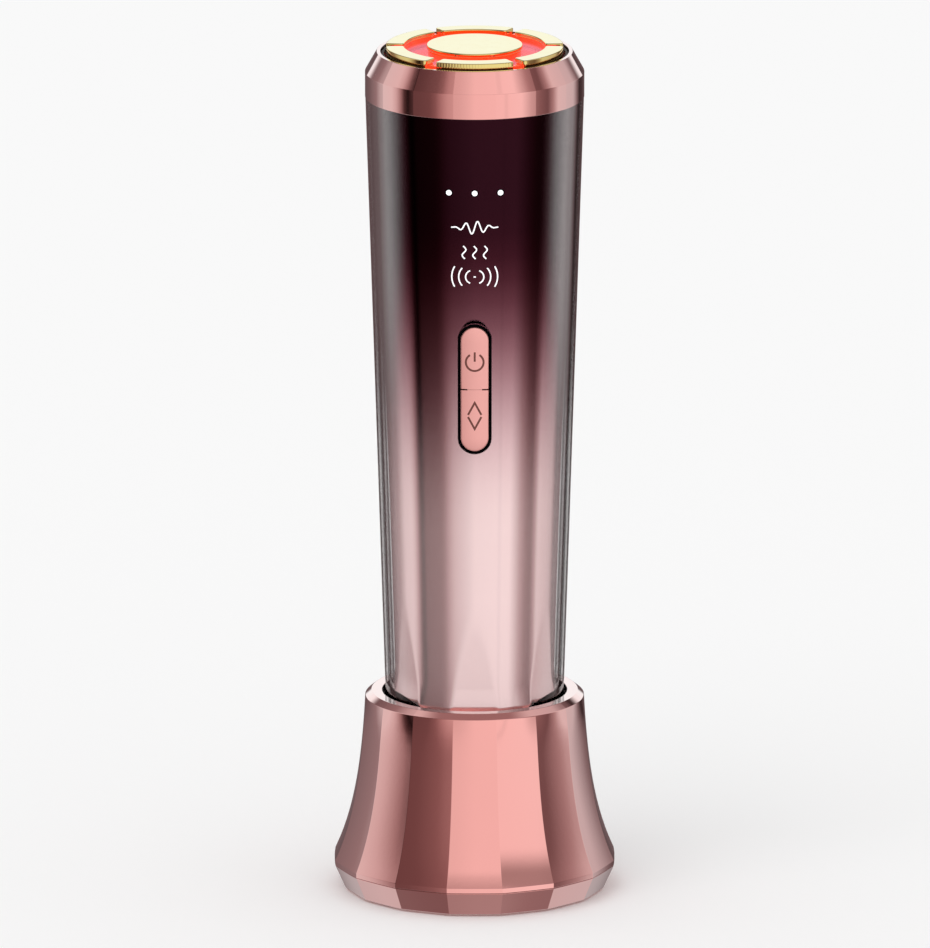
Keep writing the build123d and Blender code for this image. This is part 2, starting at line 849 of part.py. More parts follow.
def head_carrier():
    """Black frame that clamps the lamp board against the collar's ledge."""
    carrier = disc(carrier_radius, carrier_low, led_board_top)
    carrier -= disc(led_board_radius + fit_gap, led_board_low, led_board_top)
    carrier -= disc(wire_hole_radius, carrier_low, led_board_low)
    carrier -= flex_slot(carrier_low, led_board_low)
    for point in stud_places:
        carrier -= disc(stud_radius + screw_clearance, carrier_low, led_board_low, point)
    for point in head_screw_places:
        carrier -= disc(head_screw_radius + screw_clearance, carrier_low, led_board_low, point)
    return carrier


def head_screws():
    """Long screws through the chassis, carrier and board into the light guide."""
    head_low = flange_low - head_screw_head_height
    tip = head_screw_pilot_top - head_screw_tip_room
    return group([screw_up(point, head_low, head_screw_head_height, head_screw_head_radius,
                           head_screw_radius, tip) for point in head_screw_places])


# Keys

flange_grow = key_gap + bezel_ring + bezel_flange_width
switch_offset = key_length / 4
plunger_gap = switch_offset * sin(radians(key_swing)) + plunger_margin
board_front = -(sleeve_radius(key_height) - key_stack_depth)
board_back = board_front + board_thickness
stem_tip = board_front - switch_height - stem_height
core_cut_depth = key_stack_depth - core_cut_setback
opening_grow = key_gap + bezel_ring + key_opening_gap


def key_bezel():
    """Black frame of the key, with the flange that is bonded inside the core."""
    frame = key_prism(key_gap + bezel_ring, cut_front, bezel_flange_depth)
    frame &= sleeve_solid(-bezel_proud, core_low, sleeve_top)
    flange = key_prism(flange_grow, 0, bezel_flange_depth)
    frame += flange & core_solid(core_wall + thread_clearance, core_low, sleeve_top)
    return frame - key_prism(key_gap, cut_front, bezel_flange_depth)


def key_half(side):
    """Upper or lower end of the key, with its half of the side slits and its plunger."""
    back = key_thickness - key_proud
    key = key_prism(0, cut_front, back) & sleeve_solid(-key_proud, core_low, sleeve_top)
    keep = Pos(0, side * key_length / 2) * Rectangle(2 * key_width, key_length)
    key &= extrude(key_plane(back) * keep, back + cut_front)
    slit = Rectangle(2 * key_slit_length, key_slit)
    for x in (-key_width / 2, key_width / 2):
        key -= extrude(key_plane(back) * Pos(x, 0) * slit, back + cut_front)
    plunger_depth = bezel_flange_depth - plunger_gap
    plunger = key_plane(plunger_depth) * Pos(0, side * switch_offset) * Circle(plunger_radius)
    return key + extrude(plunger, plunger_depth - back)


def key_pad():
    """Silicone sheet behind the bezel, with a nub over each switch."""
    back = bezel_flange_depth + pad_thickness
    pad = extrude(key_plane(back) * key_outline(flange_grow), pad_thickness)
    for side in (-1, 1):
        nub = key_plane(key_stack_depth) * Pos(0, side * switch_offset) * Circle(nub_radius)
        front = block((-beyond, -beyond, 0), (beyond, stem_tip - thread_clearance, collar_top))
        pad += extrude(nub, key_stack_depth - back) & front
    return pad


def facing_front(x, z, radius, low_y, high_y):
    """Cylinder along Y between two depths."""
    place = Plane((x, high_y, z), x_dir=(1, 0, 0), z_dir=(0, -1, 0))
    return extrude(place * Circle(radius), high_y - low_y)


def tact_switches():
    """Two board switches, one under each end of the key."""
    switches = []
    half = switch_size / 2
    for side in (-1, 1):
        z = key_height + side * switch_offset
        switch = block((-half, board_front - switch_height, z - half), (half, board_front, z + half))
        switch += facing_front(0, z, stem_radius, stem_tip, board_front - switch_height)
        switches.append(switch)
    return group(switches)


# Indicator lights

bar_high_y = board_front - pipe_bar_lift
bar_low_y = bar_high_y - pipe_bar_thickness


def indicator_leds():
    """Three white lamps on the board behind the light pipes."""
    half_x = indicator_led_width / 2
    half_z = indicator_led_height / 2
    front = board_front - indicator_led_proud
    return group([block((x - half_x, front, indicator_height - half_z),
                        (x + half_x, board_front, indicator_height + half_z)) for x in indicator_places()])


def indicator_pipe():
    """Clear bar on two legs with three rods that end at the core's face."""
    half_x = indicator_pitch + pipe_overhang
    low = indicator_height - pipe_height / 2
    high = indicator_height + pipe_height / 2
    pipe = block((-half_x, bar_low_y, low), (half_x, bar_high_y, high))
    for x in (-half_x, half_x - pipe_leg):
        pipe += block((x, bar_high_y, low), (x + pipe_leg, board_front, high))
    for x in indicator_places():
        rod = light_rod(x, indicator_radius, core_top_radius) & core_solid(0, core_low, sleeve_top)
        pipe += rod - block((-beyond, bar_low_y, 0), (beyond, beyond, collar_top))
    return pipe


# Frame, board and battery

board_low = board_top - board_length
board_boss_x = board_half_width - board_boss_inset
board_boss_heights = (board_low + low_boss_rise, board_top - high_boss_drop)
board_boss_places = [(x * board_boss_x, z) for x in (-1, 1) for z in board_boss_heights]
chassis_corner = core_radius(chassis_low) - core_wall - chassis_gap
chassis_half_width = sqrt(chassis_corner ** 2 - rail_reach ** 2)
battery_low = battery_top - battery_length
plate_half = chassis_plate / 2
window_low = battery_top + lead_window_gap
window_high = window_low + lead_window_size


def chassis():
    """Moulded frame: flange, plate with windows, side rails, bosses and battery stops."""
    half = chassis_half_width
    frame = disc(carrier_radius, flange_low, carrier_low)
    frame -= disc(wire_hole_radius, flange_low, carrier_low)
    frame -= flex_slot(flange_low, carrier_low)
    for point in stud_places:
        frame -= disc(stud_radius + screw_clearance, flange_low, carrier_low, point)
    for point in head_screw_places:
        frame -= disc(head_screw_radius + screw_clearance, flange_low, carrier_low, point)
    frame += block((-half, -plate_half, chassis_low), (half, plate_half, flange_low))
    for x in (-half, half - rail_wall):
        frame += block((x, -rail_reach / 2, chassis_low), (x + rail_wall, rail_reach, flange_low))
    for low in (battery_top + screw_clearance, battery_low - screw_clearance - rail_wall):
        frame += block((-half, plate_half, low), (half, battery_thickness / 2, low + rail_wall))
    side = lead_window_size / 2
    frame -= block((-side, -plate_half, window_low), (side, plate_half, window_high))
    side = frame_window_width / 2
    first = window_high + frame_window_edge
    pitch = frame_window_height + frame_window_bar
    room = flange_low - frame_window_edge - first + frame_window_bar
    for index in range(int(room / pitch)):
        low = first + index * pitch
        frame -= block((-side, -plate_half, low), (side, plate_half, low + frame_window_height))
    for x, z in board_boss_places:
        frame += facing_front(x, z, board_boss_radius, board_back, -plate_half)
        pilot_end = board_back + board_screw_length + screw_clearance
        frame -= facing_front(x, z, board_screw_radius + thread_clearance, board_back, pilot_end)
    return frame


def main_board():
    """Circuit board in front of the frame, with its screw holes."""
    board = block((-board_half_width, board_front, board_low), (board_half_width, board_back, board_top))
    board = fillet(board.edges().filter_by(Axis.Y), board_corner)
    for x, z in board_boss_places:
        board -= facing_front(x, z, board_screw_radius + screw_clearance, board_front, board_back)
    return board


def board_screws():
    """Screws through the board into the frame's bosses."""
    screws = []
    for x, z in board_boss_places:
        screw = facing_front(x, z, board_screw_radius, board_front, board_back + board_screw_length)
        head_low = board_front - board_screw_head_height
        screw += facing_front(x, z, 2 * board_screw_radius, head_low, board_front)
        screws.append(screw)
    return group(screws)


def chip(x, drop, width, height, thickness):
    """Block on the board's front, placed by its drop from the board's top."""
    z = board_top - drop
    return block((x - width / 2, board_front - thickness, z - height / 2),
                 (x + width / 2, board_front, z + height / 2))


def board_chips():
    """Controller, drivers, inductor and connectors on the board."""
    chips = [chip(0, 33, 7, 7, 0.9), chip(0, 90, 5, 5, 2.2)]
    for side in (-1, 1):
        chips.append(chip(side * 5.5, 27, 4, 5, 1.4))
        chips.append(chip(side * 6, 70, 5, 4, 1.2))
    connector_width = flex_width + 2
    chips.append(chip(0, connector_drop, connector_width, connector_height, connector_thickness))
    return group(chips)


def rf_coil():
    """Drum core of the coil that feeds the electrodes."""
    place = Pos(0, board_front, board_top - coil_drop) * Rot(90, 0, 0)
    waist_low = coil_flange + coil_slope
    outline = Polyline((0, 0), (coil_radius, 0), (coil_radius, coil_flange), (coil_waist, waist_low),
                       (coil_waist, coil_height - waist_low), (coil_radius, coil_height - coil_flange),
                       (coil_radius, coil_height), (0, coil_height), close=True)
    return place * revolve(Plane.XZ * make_face(outline), Axis.Z)


def battery():
    """Lithium pouch cell on the back of the frame."""
    half = chassis_half_width - rail_wall - screw_clearance
    cell = block((-half, plate_half, battery_low), (half, plate_half + battery_thickness, battery_top))
    return fillet(cell.edges().filter_by(Axis.Z), battery_thickness / 3)


def battery_leads():
    """Two wires from the battery through the frame's window to the board."""
    wires = []
    start_y = plate_half + battery_thickness / 2
    turn_z = (window_low + window_high) / 2
    for x in (-lead_spacing / 2, lead_spacing / 2):
        points = [(x, start_y, battery_top), (x, start_y, turn_z), (x, board_back, turn_z)]
        path = FilletPolyline(*points, radius=turn_z - battery_top - lead_straight)
        start = Plane(points[0], x_dir=(1, 0, 0), z_dir=(0, 0, 1))
        wires.append(sweep(start * Circle(lead_radius), path))
    return group(wires)


def head_flex():
    """Flat ribbon from the board's connector up to the lamp board."""
    low = board_top - connector_drop + connector_height / 2
    near = board_front - connector_thickness / 2
    rise = led_board_low - low
    points = [(near, low), (near, low + 0.3 * rise), (-flex_offset, low + 0.6 * rise),
              (-flex_offset, led_board_low)]
    ribbon = trace(FilletPolyline(*points, radius=flex_bend), flex_thickness)
    return extrude(Plane.YZ * ribbon, flex_width / 2, both=True)


pieces = {
    "stand_shell": stand_shell, "stand_foot": stand_foot, "stand_cup": stand_cup,
    "stand_weight": stand_weight, "rubber_feet": rubber_feet, "base_screws": base_screws,
    "cup_screws": cup_screws, "dock_board": dock_board, "usb_socket": usb_socket,
    "pin_housing": pin_housing, "pogo_barrels": pogo_barrels, "charge_pins": charge_pins,
    "outer_sleeve": outer_sleeve, "inner_core": inner_core, "tail_cap": tail_cap,
    "tail_seal": lambda: tail_seal_ring(tail_seal_depth, tail_seal_squeeze), "contact_pads": contact_pads,
    "head_collar": head_collar, "head_seal": head_seal, "light_guide": light_guide,
    "electrode_centre": electrode_centre, "transducer": transducer, "heater_film": heater_film,
    "thermistor": thermistor, "led_board": led_board, "red_leds": red_leds,
    "head_carrier": head_carrier, "head_screws": head_screws, "key_bezel": key_bezel,
    "power_key": lambda: key_half(1), "level_key": lambda: key_half(-1), "key_pad": key_pad,
    "tact_switches": tact_switches, "indicator_leds": indicator_leds,
    "indicator_pipe": indicator_pipe, "chassis": chassis, "main_board": main_board,
    "board_screws": board_screws, "board_chips": board_chips, "rf_coil": rf_coil,
    "battery": battery, "battery_leads": battery_leads, "head_flex": head_flex,
}

os.makedirs("parts", exist_ok=True)
for node, make in pieces.items():
    export_step(make(), f"parts/{node}.step")
for number, angle in enumerate(arc_angles, start=1):
    export_step(electrode_arc(angle), f"parts/electrode_arc_{number}.step")
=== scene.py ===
from functools import cache
from math import atan2, cos, exp, pi, radians, sin, sqrt, tan

import bmesh
import bpy
from bpy.props import FloatProperty, FloatVectorProperty, PointerProperty
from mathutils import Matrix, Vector


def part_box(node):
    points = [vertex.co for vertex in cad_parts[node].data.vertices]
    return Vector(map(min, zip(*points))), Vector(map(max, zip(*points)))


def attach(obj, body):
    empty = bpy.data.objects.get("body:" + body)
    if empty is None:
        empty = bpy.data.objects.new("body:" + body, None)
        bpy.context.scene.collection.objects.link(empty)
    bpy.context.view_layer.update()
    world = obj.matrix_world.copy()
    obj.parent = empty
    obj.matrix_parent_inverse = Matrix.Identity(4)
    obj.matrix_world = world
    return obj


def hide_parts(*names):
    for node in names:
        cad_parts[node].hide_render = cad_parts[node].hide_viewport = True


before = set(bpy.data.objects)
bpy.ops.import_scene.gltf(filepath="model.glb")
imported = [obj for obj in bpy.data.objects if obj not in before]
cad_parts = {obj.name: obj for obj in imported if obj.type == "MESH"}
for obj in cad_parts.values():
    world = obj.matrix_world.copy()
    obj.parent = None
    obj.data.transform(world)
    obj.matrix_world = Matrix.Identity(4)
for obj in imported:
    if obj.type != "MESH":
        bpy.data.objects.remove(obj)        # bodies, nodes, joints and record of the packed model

bl_info = {
    "name": "Facial care wand",
    "version": (1, 0, 0),
    "blender": (4, 5, 0),
    "location": "View3D > Sidebar > Wand",
    "description": "Dresses a facial care wand and its charging stand around their packed frame",
    "category": "Object",
}

MM = 0.001
FACETS = 16
HALF_FACET = pi / FACETS
FRONT = -pi / 2
FLAT_STEPS = 8
CORNER_STEPS = 4
ROUND_STEPS = 256
LOW, HIGH = 0, 1
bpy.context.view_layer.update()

# Roundness of the plated edges, and of rims and moulded edges
CRISP = 0.12 * MM
SOFT = 0.3 * MM

# Steps of a rounded edge, and the angle in degrees from which an edge is shaded sharp
EDGE_STEPS = 4
CREASE = 35.0


@cache
def box(node):
    """Lowest and highest corner of a node, measured once."""
    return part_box(node)


def span(node):
    """Lowest and highest level of a node."""
    low, high = box(node)
    return low.z, high.z


# Properties

def length(name, description, millimetres):
    """Length property, given in millimetres and kept in metres."""
    return FloatProperty(name=name, description=description, default=millimetres * MM, unit="LENGTH")


def angle(name, description, degrees):
    """Angle property, given in degrees."""
    return FloatProperty(name=name, description=description, default=radians(degrees), unit="ROTATION")


def share(name, description, value):
    """Plain number property."""
    return FloatProperty(name=name, description=description, default=value)


def linear(red, green, blue):
    """Screen colour from 0 to 255 as the linear colour that the shaders work in."""
    def level(value):
        part = value / 255
        return part / 12.92 if part <= 0.04045 else ((part + 0.055) / 1.055) ** 2.4
    return (level(red), level(green), level(blue), 1.0)


def toned(tone, factor, lift=0.0):
    """Colour made lighter or darker by a factor."""
    return tuple(min(part * factor + lift, 1.0) for part in tone[:3]) + (1.0,)


def colour(name, description, red, green, blue):
    """Colour property, given as a screen colour."""
    return FloatVectorProperty(name=name, description=description, size=4, subtype="COLOR",
                               default=linear(red, green, blue))


class StandSizes(bpy.types.PropertyGroup):
    """Sizes of the charging stand"""
    widest: length("Widest", "Distance from the axis to a flat at the foot", 31.777)
    shoulder: length("Shoulder", "Distance from the axis to a flat under the rim", 24.814)
    foot: length("Foot", "Distance from the axis to a flat of the underside", 29.326)
    foot_lift: length("Foot lift", "Height of the underside over the rubber feet", 0.5)
    seam: length("Seam", "Height of the seam between tray and casing", 6.0)
    band: length("Band", "Height of the upright band over the seam", 1.1)
    flare: length("Flare", "Height of the flare over the band", 37.5)
    sharpness: share("Sharpness", "How quickly the flare draws in above the foot", 2.2)
    rim_bevel: length("Rim bevel", "How far the rim's bevel goes in", 1.471)
    wall: length("Wall", "Thickness of the casing", 1.8)
    rim_thickness: length("Rim thickness", "Height of the rim's mouth", 1.8)
    mouth: length("Mouth", "Radius of the opening for the wand", 20.92)
    corner: length("Corner", "Roundness of the upright edges", 0.5)
    crown: angle("Crown", "How far each side is bowed", 3.0)
    round_height: length("Round height", "Height over which the sides fade into the round rim", 9.0)
    tray_wall: length("Tray wall", "Thickness of the tray's wall", 3.2)
    tray_floor: length("Tray floor", "Thickness of the tray's floor", 3.0)
    lip: length("Lip", "Height of the tray's lip inside the casing", 2.0)
    pad_radius: length("Pad radius", "Radius of the rubber feet", 4.5)
    pad_circle: length("Pad circle", "Distance of the rubber feet from the axis", 20.0)
    screw_circle: length("Screw circle", "Distance of the casing's screws from the axis", 25.3)
    screw_radius: length("Screw head", "Radius of the casing screws' heads", 2.4)
    screw_head: length("Head height", "Height of the casing screws' heads", 1.3)
    socket_width: length("Socket width", "Width of the charging socket's opening", 9.3)
    socket_height: length("Socket height", "Height of the charging socket's opening", 3.6)


class WandSizes(bpy.types.PropertyGroup):
    """Sizes of the wand's body"""
    taper: angle("Taper", "Slope of the sleeve's side", 1.84)
    wall: length("Wall", "Thickness of the clear sleeve", 1.1)
    core_gap: length("Core gap", "Room between sleeve and core at the top", 0.15)
    core_wall: length("Core wall", "Thickness of the core", 1.4)
    core_tail: length("Core tail", "Radius of the core's lower end", 17.9)
    core_drop: length("Core drop", "How far the core reaches below its packed end", 1.7)
    core_bow: length("Core bow", "How far the core's side bows in", 0.55)
    flat_inset: length("Flat inset", "How deep the six flats cut into the tail", 0.75)
    flat_height: length("Flat height", "Height at which the flats run out", 20.0)
    tail_front: length("Tail front", "Half of the tail's level front edge", 9.0)
    tail_lift: length("Tail lift", "How far the tail is cut up at its sides", 2.3)
    tail_flare: length("Tail flare", "How far the tail's foot spreads", 0.7)
    tail_foot: length("Tail foot", "Height of the tail's spread foot", 5.7)
    edge: length("Edge", "Softness of the edges between the flats", 0.12)


class HeadSizes(bpy.types.PropertyGroup):
    """Sizes of the wand's head"""
    overhang: length("Overhang", "How far the collar stands out past the sleeve", 0.07)
    side: length("Side", "Height of the collar's upright side", 5.75)
    chamfer_width: length("Chamfer width", "How far the chamfer goes in", 2.65)
    lip: length("Lip", "Width of the collar's top edge", 0.82)
    pocket: length("Pocket", "Depth of the collar's pocket", 4.4)
    corner: length("Corner", "Roundness of the collar's upright edges", 4.0)
    crown: angle("Crown", "How far each side of the collar is bowed", 10.0)
    lip_drop: length("Lip drop", "How far the collar's lip lies under its packed height", 0.35)
    arc_width: length("Arc width", "Width of an arc electrode", 4.1)
    arc_half_angle: angle("Arc half angle", "Half of the angle that an arc electrode spans", 26.5)
    arc_corner: length("Arc corner", "Roundness of an arc electrode's ends", 0.75)
    plate: length("Plate", "Thickness of an electrode's plate", 0.9)
    skirt_wall: length("Skirt wall", "Thickness of an arc electrode's skirt", 0.8)
    skirt: length("Skirt", "Height of an arc electrode's skirt", 1.7)
    plate_edge: length("Plate edge", "Roundness of the electrodes' top edges", 0.28)
    land: length("Land", "Height of the raised lands over the floor", 2.1)
    arc_lift: length("Arc lift", "How far the arcs stand over their packed height", 0.2)
    disc_lift: length("Disc lift", "How far the disc stands over its packed height", 0.4)
    rib_pitch: length("Rib pitch", "Spacing of the fine ribs on the front arc", 0.6)
    rib_depth: length("Rib depth", "Depth of the fine ribs on the front arc", 0.06)


class KeySizes(bpy.types.PropertyGroup):
    """Sizes of the keys, lights and printed marks"""
    drop: length("Drop", "Distance of the keys' middle below the collar", 62.65)
    width: length("Width", "Width of the key", 6.35)
    height: length("Length", "Length of the key", 28.85)
    proud: length("Proud", "How far the key stands out of the sleeve", 0.3)
    thickness: length("Thickness", "Thickness of the key", 1.5)
    edge: length("Edge", "Roundness of the key's edge", 0.28)
    pillow: length("Pillow", "How far the key's face is bowed", 0.1)
    gap: length("Gap", "Room round the key", 0.2)
    ring: length("Ring", "Width of the black ring round the key", 0.45)
    ring_proud: length("Ring proud", "How far the black ring stands out of the sleeve", 0.12)
    flange: length("Flange", "Depth of the black frame", 5.0)
    parting: length("Parting", "Room between the two ends of the key", 0.06)
    slit: length("Slit", "Height of the slits at the key's sides", 0.34)
    slit_length: length("Slit length", "Length of the slits at the key's sides", 1.53)
    lamp_drop: length("Lamp drop", "Distance of the three lights below the collar", 17.4)
    lamp_pitch: length("Lamp pitch", "Spacing of the three lights", 5.8)
    lamp_radius: length("Lamp radius", "Radius of the three lights", 0.64)
    line: length("Line", "Width of the printed lines", 0.3)
    mark_line: length("Mark line", "Width of the lines on the key", 0.45)


class Shades(bpy.types.PropertyGroup):
    """Colours of the finishes"""
    rose: colour("Rose plating", "Plated collar, casing and tray", 250, 176, 169)
    # Painted paler reflection colour where the plating turns away
    rose_edge: colour("Rose edge", "Plating where it turns away", 250, 244, 243)
    gold: colour("Gold plating", "Lapped tops of the electrodes", 251, 250, 208)
    # Painted shade: the sides' deeper, darker gold stands in for the darker reflection they show
    gold_side_shade: colour("Gold sides", "Sides of the electrodes", 238, 216, 138)
    wine: colour("Wine", "Darkest, upper part of the core", 46, 17, 26)
    blush: colour("Blush", "Palest, lower part of the core", 247, 217, 216)
    key: colour("Key", "Rose key", 255, 184, 176)
    glow: colour("Glow", "Light from the red lamps", 255, 40, 12)
    floor: colour("Light guide", "Pink floor under the electrodes", 224, 138, 148)


class StudioSettings(bpy.types.PropertyGroup):
    """Camera, lamps and floor"""
    elevation: angle("Elevation", "Height of the camera over the horizon", 13.75)
    distance: length("Distance", "Distance of the camera", 5000.0)
    view_height: length("View height", "Height that the picture spans", 214.5)
    aim_across: length("Aim across", "Place that the camera aims at, across", -2.18)
    aim_up: length("Aim up", "Place that the camera aims at, up", 95.85)
    background: share("Background", "Brightness of floor and backdrop", 0.956)
    fill: share("Fill", "Brightness of the even light", 0.86)
    sun: share("Lamp", "Strength of the soft lamp", 0.5)


SETTINGS = {
    "stand_sizes": StandSizes, "wand_sizes": WandSizes, "head_sizes": HeadSizes,
    "key_sizes": KeySizes, "wand_shades": Shades, "wand_studio": StudioSettings,
}


# Shader maths

def feed(tree, socket, value):
    """Sets a socket's value, or links what is given to it."""
    if isinstance(value, Number):
        tree.links.new(value.socket, socket)
    elif isinstance(value, bpy.types.NodeSocket):
        tree.links.new(value, socket)
    else:
        socket.default_value = value


def math_method(operation, swapped=False):
    """Method that adds a Math node for one of Python's operators."""
    def method(self, other):
        return self.maths(operation, *((other, self) if swapped else (self, other)))
    return method


class Number:
    """Socket with a number, on which Python's operators add Math nodes."""

    def __init__(self, tree, socket):
        self.tree = tree
        self.socket = socket

    def maths(self, operation, *values):
        node = self.tree.nodes.new("ShaderNodeMath")
        node.operation = operation
        for socket, value in zip(node.inputs, values):
            feed(self.tree, socket, value)
        return Number(self.tree, node.outputs[0])

    __add__, __radd__ = math_method("ADD"), math_method("ADD", True)
    __sub__, __rsub__ = math_method("SUBTRACT"), math_method("SUBTRACT", True)
    __mul__, __rmul__ = math_method("MULTIPLY"), math_method("MULTIPLY", True)
    __truediv__, __pow__ = math_method("DIVIDE"), math_method("POWER")


class Finish:
    """Material in the making, with the one method that adds nodes to it."""

    def __init__(self, name, tree=None):
        if tree is None:
            self.material = bpy.data.materials.new(name)
            self.material.use_nodes = True
            tree = self.material.node_tree
        self.tree = tree
        self.tree.nodes.clear()

    def node(self, kind, settings=None, values=None):
        """Adds a node: its settings first, then the values or links of its sockets."""
        node = self.tree.nodes.new(kind)
        for name, setting in (settings or {}).items():
            if name == "stops":
                self.fill_ramp(node.color_ramp, setting)
            else:
                setattr(node, name, setting)
        for name, value in (values or {}).items():
            feed(self.tree, node.inputs[name], value)
        return node

    @staticmethod
    def fill_ramp(ramp, stops):
        while len(ramp.elements) < len(stops):
            ramp.elements.new(1.0)
        for element, (place, tone) in zip(ramp.elements, stops):
            element.position = place
            element.color = tone

    def number(self, socket):
        return Number(self.tree, socket)

    def place(self):
        return self.node("ShaderNodeTexCoord").outputs["Object"]

    def part(self, vector, axis):
        """One part of a vector, in metres."""
        return self.number(self.node("ShaderNodeSeparateXYZ", values={0: vector}).outputs[axis])

    def stretched(self, across, along, up):
        """Object coordinates, each scaled by its own factor."""
        return self.node("ShaderNodeVectorMath", {"operation": "MULTIPLY"},
                         {0: self.place(), 1: (across, along, up)}).outputs[0]

    def noise(self, scale, detail=2.0, vector=None):
        node = self.node("ShaderNodeTexNoise", values={
            "Vector": vector or self.place(), "Scale": scale, "Detail": detail})
        return self.number(node.outputs["Fac"])

    def eased(self, value, low, high):
        """0 below low, 1 above high, and smooth in between."""
        node = self.node("ShaderNodeMapRange", {"interpolation_type": "SMOOTHSTEP"},
                         {"Value": value, "From Min": low, "From Max": high})
        return self.number(node.outputs[0])

    def band(self, value, start, full, leave, end):
        """0 outside start and end, 1 between full and leave, and smooth in between."""
        return self.eased(value, start, full) * (1 - self.eased(value, leave, end))

    def facing(self):
        """0 where the surface faces the eye, towards 1 where it turns away."""
        return self.number(self.node("ShaderNodeLayerWeight", values={"Blend": 0.5}).outputs["Facing"])

    def ramp(self, stops, factor):
        """Colours blended between stops along a factor."""
        return self.node("ShaderNodeValToRGB", {"stops": stops}, {"Fac": factor}).outputs[0]

    def mixed(self, factor, first, second):
        """Mix of two colours."""
        return self.node("ShaderNodeMix", {"data_type": "RGBA"},
                         {0: factor, 6: first, 7: second}).outputs[2]

    def bump(self, height, depth):
        """Normal from a height between 0 and 1, and the depth that it stands for in metres."""
        return self.node("ShaderNodeBump", values={
            "Strength": 1.0, "Distance": depth, "Height": height}).outputs[0]

    def surface(self, values):
        """Closes the material with its surface shader."""
        return self.output(self.node("ShaderNodeBsdfPrincipled", values=values).outputs[0])

    def output(self, socket):
        self.node("ShaderNodeOutputMaterial", values={"Surface": socket})
        return self.material


# Finishes

# How quickly, and how far, the plating's mirror pales where it turns away
EDGE_POWER = 1.3
EDGE_GAIN = 1.15


def rose_plated(shades):
    """Vacuum-plated rose gold: a mirror with faint orange peel and haze, and a painted paler reflection
    colour where it turns away.
    """
    finish = Finish("rose_plating")
    haze = finish.noise(55.0, 3.0)
    peel = finish.noise(750.0)
    face_on = finish.mixed(haze, shades.rose, toned(shades.rose, 0.96))
    # Painted reflection: the base colour pales towards the edge colour where the plating turns away from
    # the eye
    painted_edge_paling = finish.facing() ** EDGE_POWER * EDGE_GAIN
    return finish.surface({
        "Base Color": finish.mixed(painted_edge_paling, face_on, shades.rose_edge), "Metallic": 1.0,
        "Roughness": 0.045 + haze * 0.05, "Normal": finish.bump(peel, 0.0000025)})


def gold_electrode(shades):
    """Pale gold plating on polished metal, with a faint lapping grain, and sides painted a darker gold as
    shade.
    """
    finish = Finish("gold_plating")
    grain = finish.noise(420.0, 3.0)
    upward = finish.part(finish.node("ShaderNodeNewGeometry").outputs["Normal"], "Z")
    lapped = finish.mixed(grain * 0.3, shades.gold, shades.gold_side_shade)
    # Painted shade: the colour goes from the pale top to the darker painted side as the surface turns from
    # up to sideways
    return finish.surface({
        "Base Color": finish.mixed(finish.eased(upward, 0.55, 0.95), shades.gold_side_shade, lapped),
        "Metallic": 1.0, "Roughness": 0.05 + grain * 0.05, "Normal": finish.bump(grain, 0.000002)})


# Painted refraction lines: darker lines that stand in for the light the thick clear wall bends away towards
# its edge
PAINTED_WALL_LINES = (
    (0.50, (252, 252, 252)), (0.66, (236, 236, 236)), (0.71, (150, 152, 150)), (0.75, (225, 228, 226)),
    (0.81, (232, 234, 232)), (0.85, (120, 122, 120)), (0.90, (205, 210, 207)), (0.95, (216, 220, 217)),
    (0.98, (132, 136, 134)), (1.00, (150, 154, 152)),
)

# Light that the clear wall and its darkest painted line let through, and how much darker the painted lines
# get towards the top
CLEAR = 0.99
DARK = 0.05
TOP_DARKENING = 0.59
TOP_DARKENING_SPAN = (0.45, 0.8)

# Turn at which the painted lines fade in, and the one over which its shine grows
LINES_FADE = (0.45, 0.75)
SHINE_FADE = (0.24, 1.04)


def clear_sleeve(name):
    """Clear wall: it shows what is behind it, shines where it turns away, and has painted dark lines
    towards its edges.
    """
    finish = Finish(name)
    facing = finish.facing()
    lines = finish.number(finish.ramp([(place, linear(*tone)) for place, tone in PAINTED_WALL_LINES], facing))
    low, high = span("outer_sleeve")
    darken_low, darken_high = (low + part * (high - low) for part in TOP_DARKENING_SPAN)
    rise = finish.eased(finish.part(finish.place(), "Z"), darken_low, darken_high)
    tone = lines * (1 - rise * TOP_DARKENING)
    # Painted shade: towards the edges the wall lets less light through along the painted lines
    painted_edge_darkness = finish.eased(facing, *LINES_FADE) * (CLEAR - tone) / (CLEAR - DARK)
    clear = finish.node("ShaderNodeBsdfTransparent", values={"Color": (CLEAR, CLEAR, CLEAR, 1.0)})
    dark = finish.node("ShaderNodeBsdfTransparent", values={"Color": (DARK, DARK, DARK, 1.0)})
    wall = finish.node("ShaderNodeMixShader", values={
        0: painted_edge_darkness, 1: clear.outputs[0], 2: dark.outputs[0]})
    gloss = finish.node("ShaderNodeBsdfGlossy", values={"Color": (1.0, 1.0, 1.0, 1.0), "Roughness": 0.03})
    shine = finish.node("ShaderNodeMixShader", values={
        0: finish.eased(facing, *SHINE_FADE) * (0.4 + rise * 0.5), 1: wall.outputs[0], 2: gloss.outputs[0]})
    return finish.output(shine.outputs[0])


# The core's fade: the shares of its height where it starts and ends, its number of stops, and how
# soon its red, green and blue darken. The tail is a little darker up to a share of the height.
FADE_START, FADE_END, FADE_STOPS = 0.30, 0.88, 16
FADE_POWERS = (1.68, 2.3, 2.12)
TAIL_END, TAIL_SHADE = 0.18, 0.93


def fade_stops(shades):
    """Stops from blush at the tail to wine at the top, along a half wave."""
    stops = [(0.0, toned(shades.blush, TAIL_SHADE)), (TAIL_END, tuple(shades.blush))]
    for step in range(FADE_STOPS):
        part = step / (FADE_STOPS - 1)
        pale = (1 + cos(pi * part)) / 2
        tone = [dark + (light - dark) * pale ** power
                for light, dark, power in zip(shades.blush, shades.wine, FADE_POWERS)]
        stops.append((FADE_START + (FADE_END - FADE_START) * part, (*tone, 1.0)))
    return stops


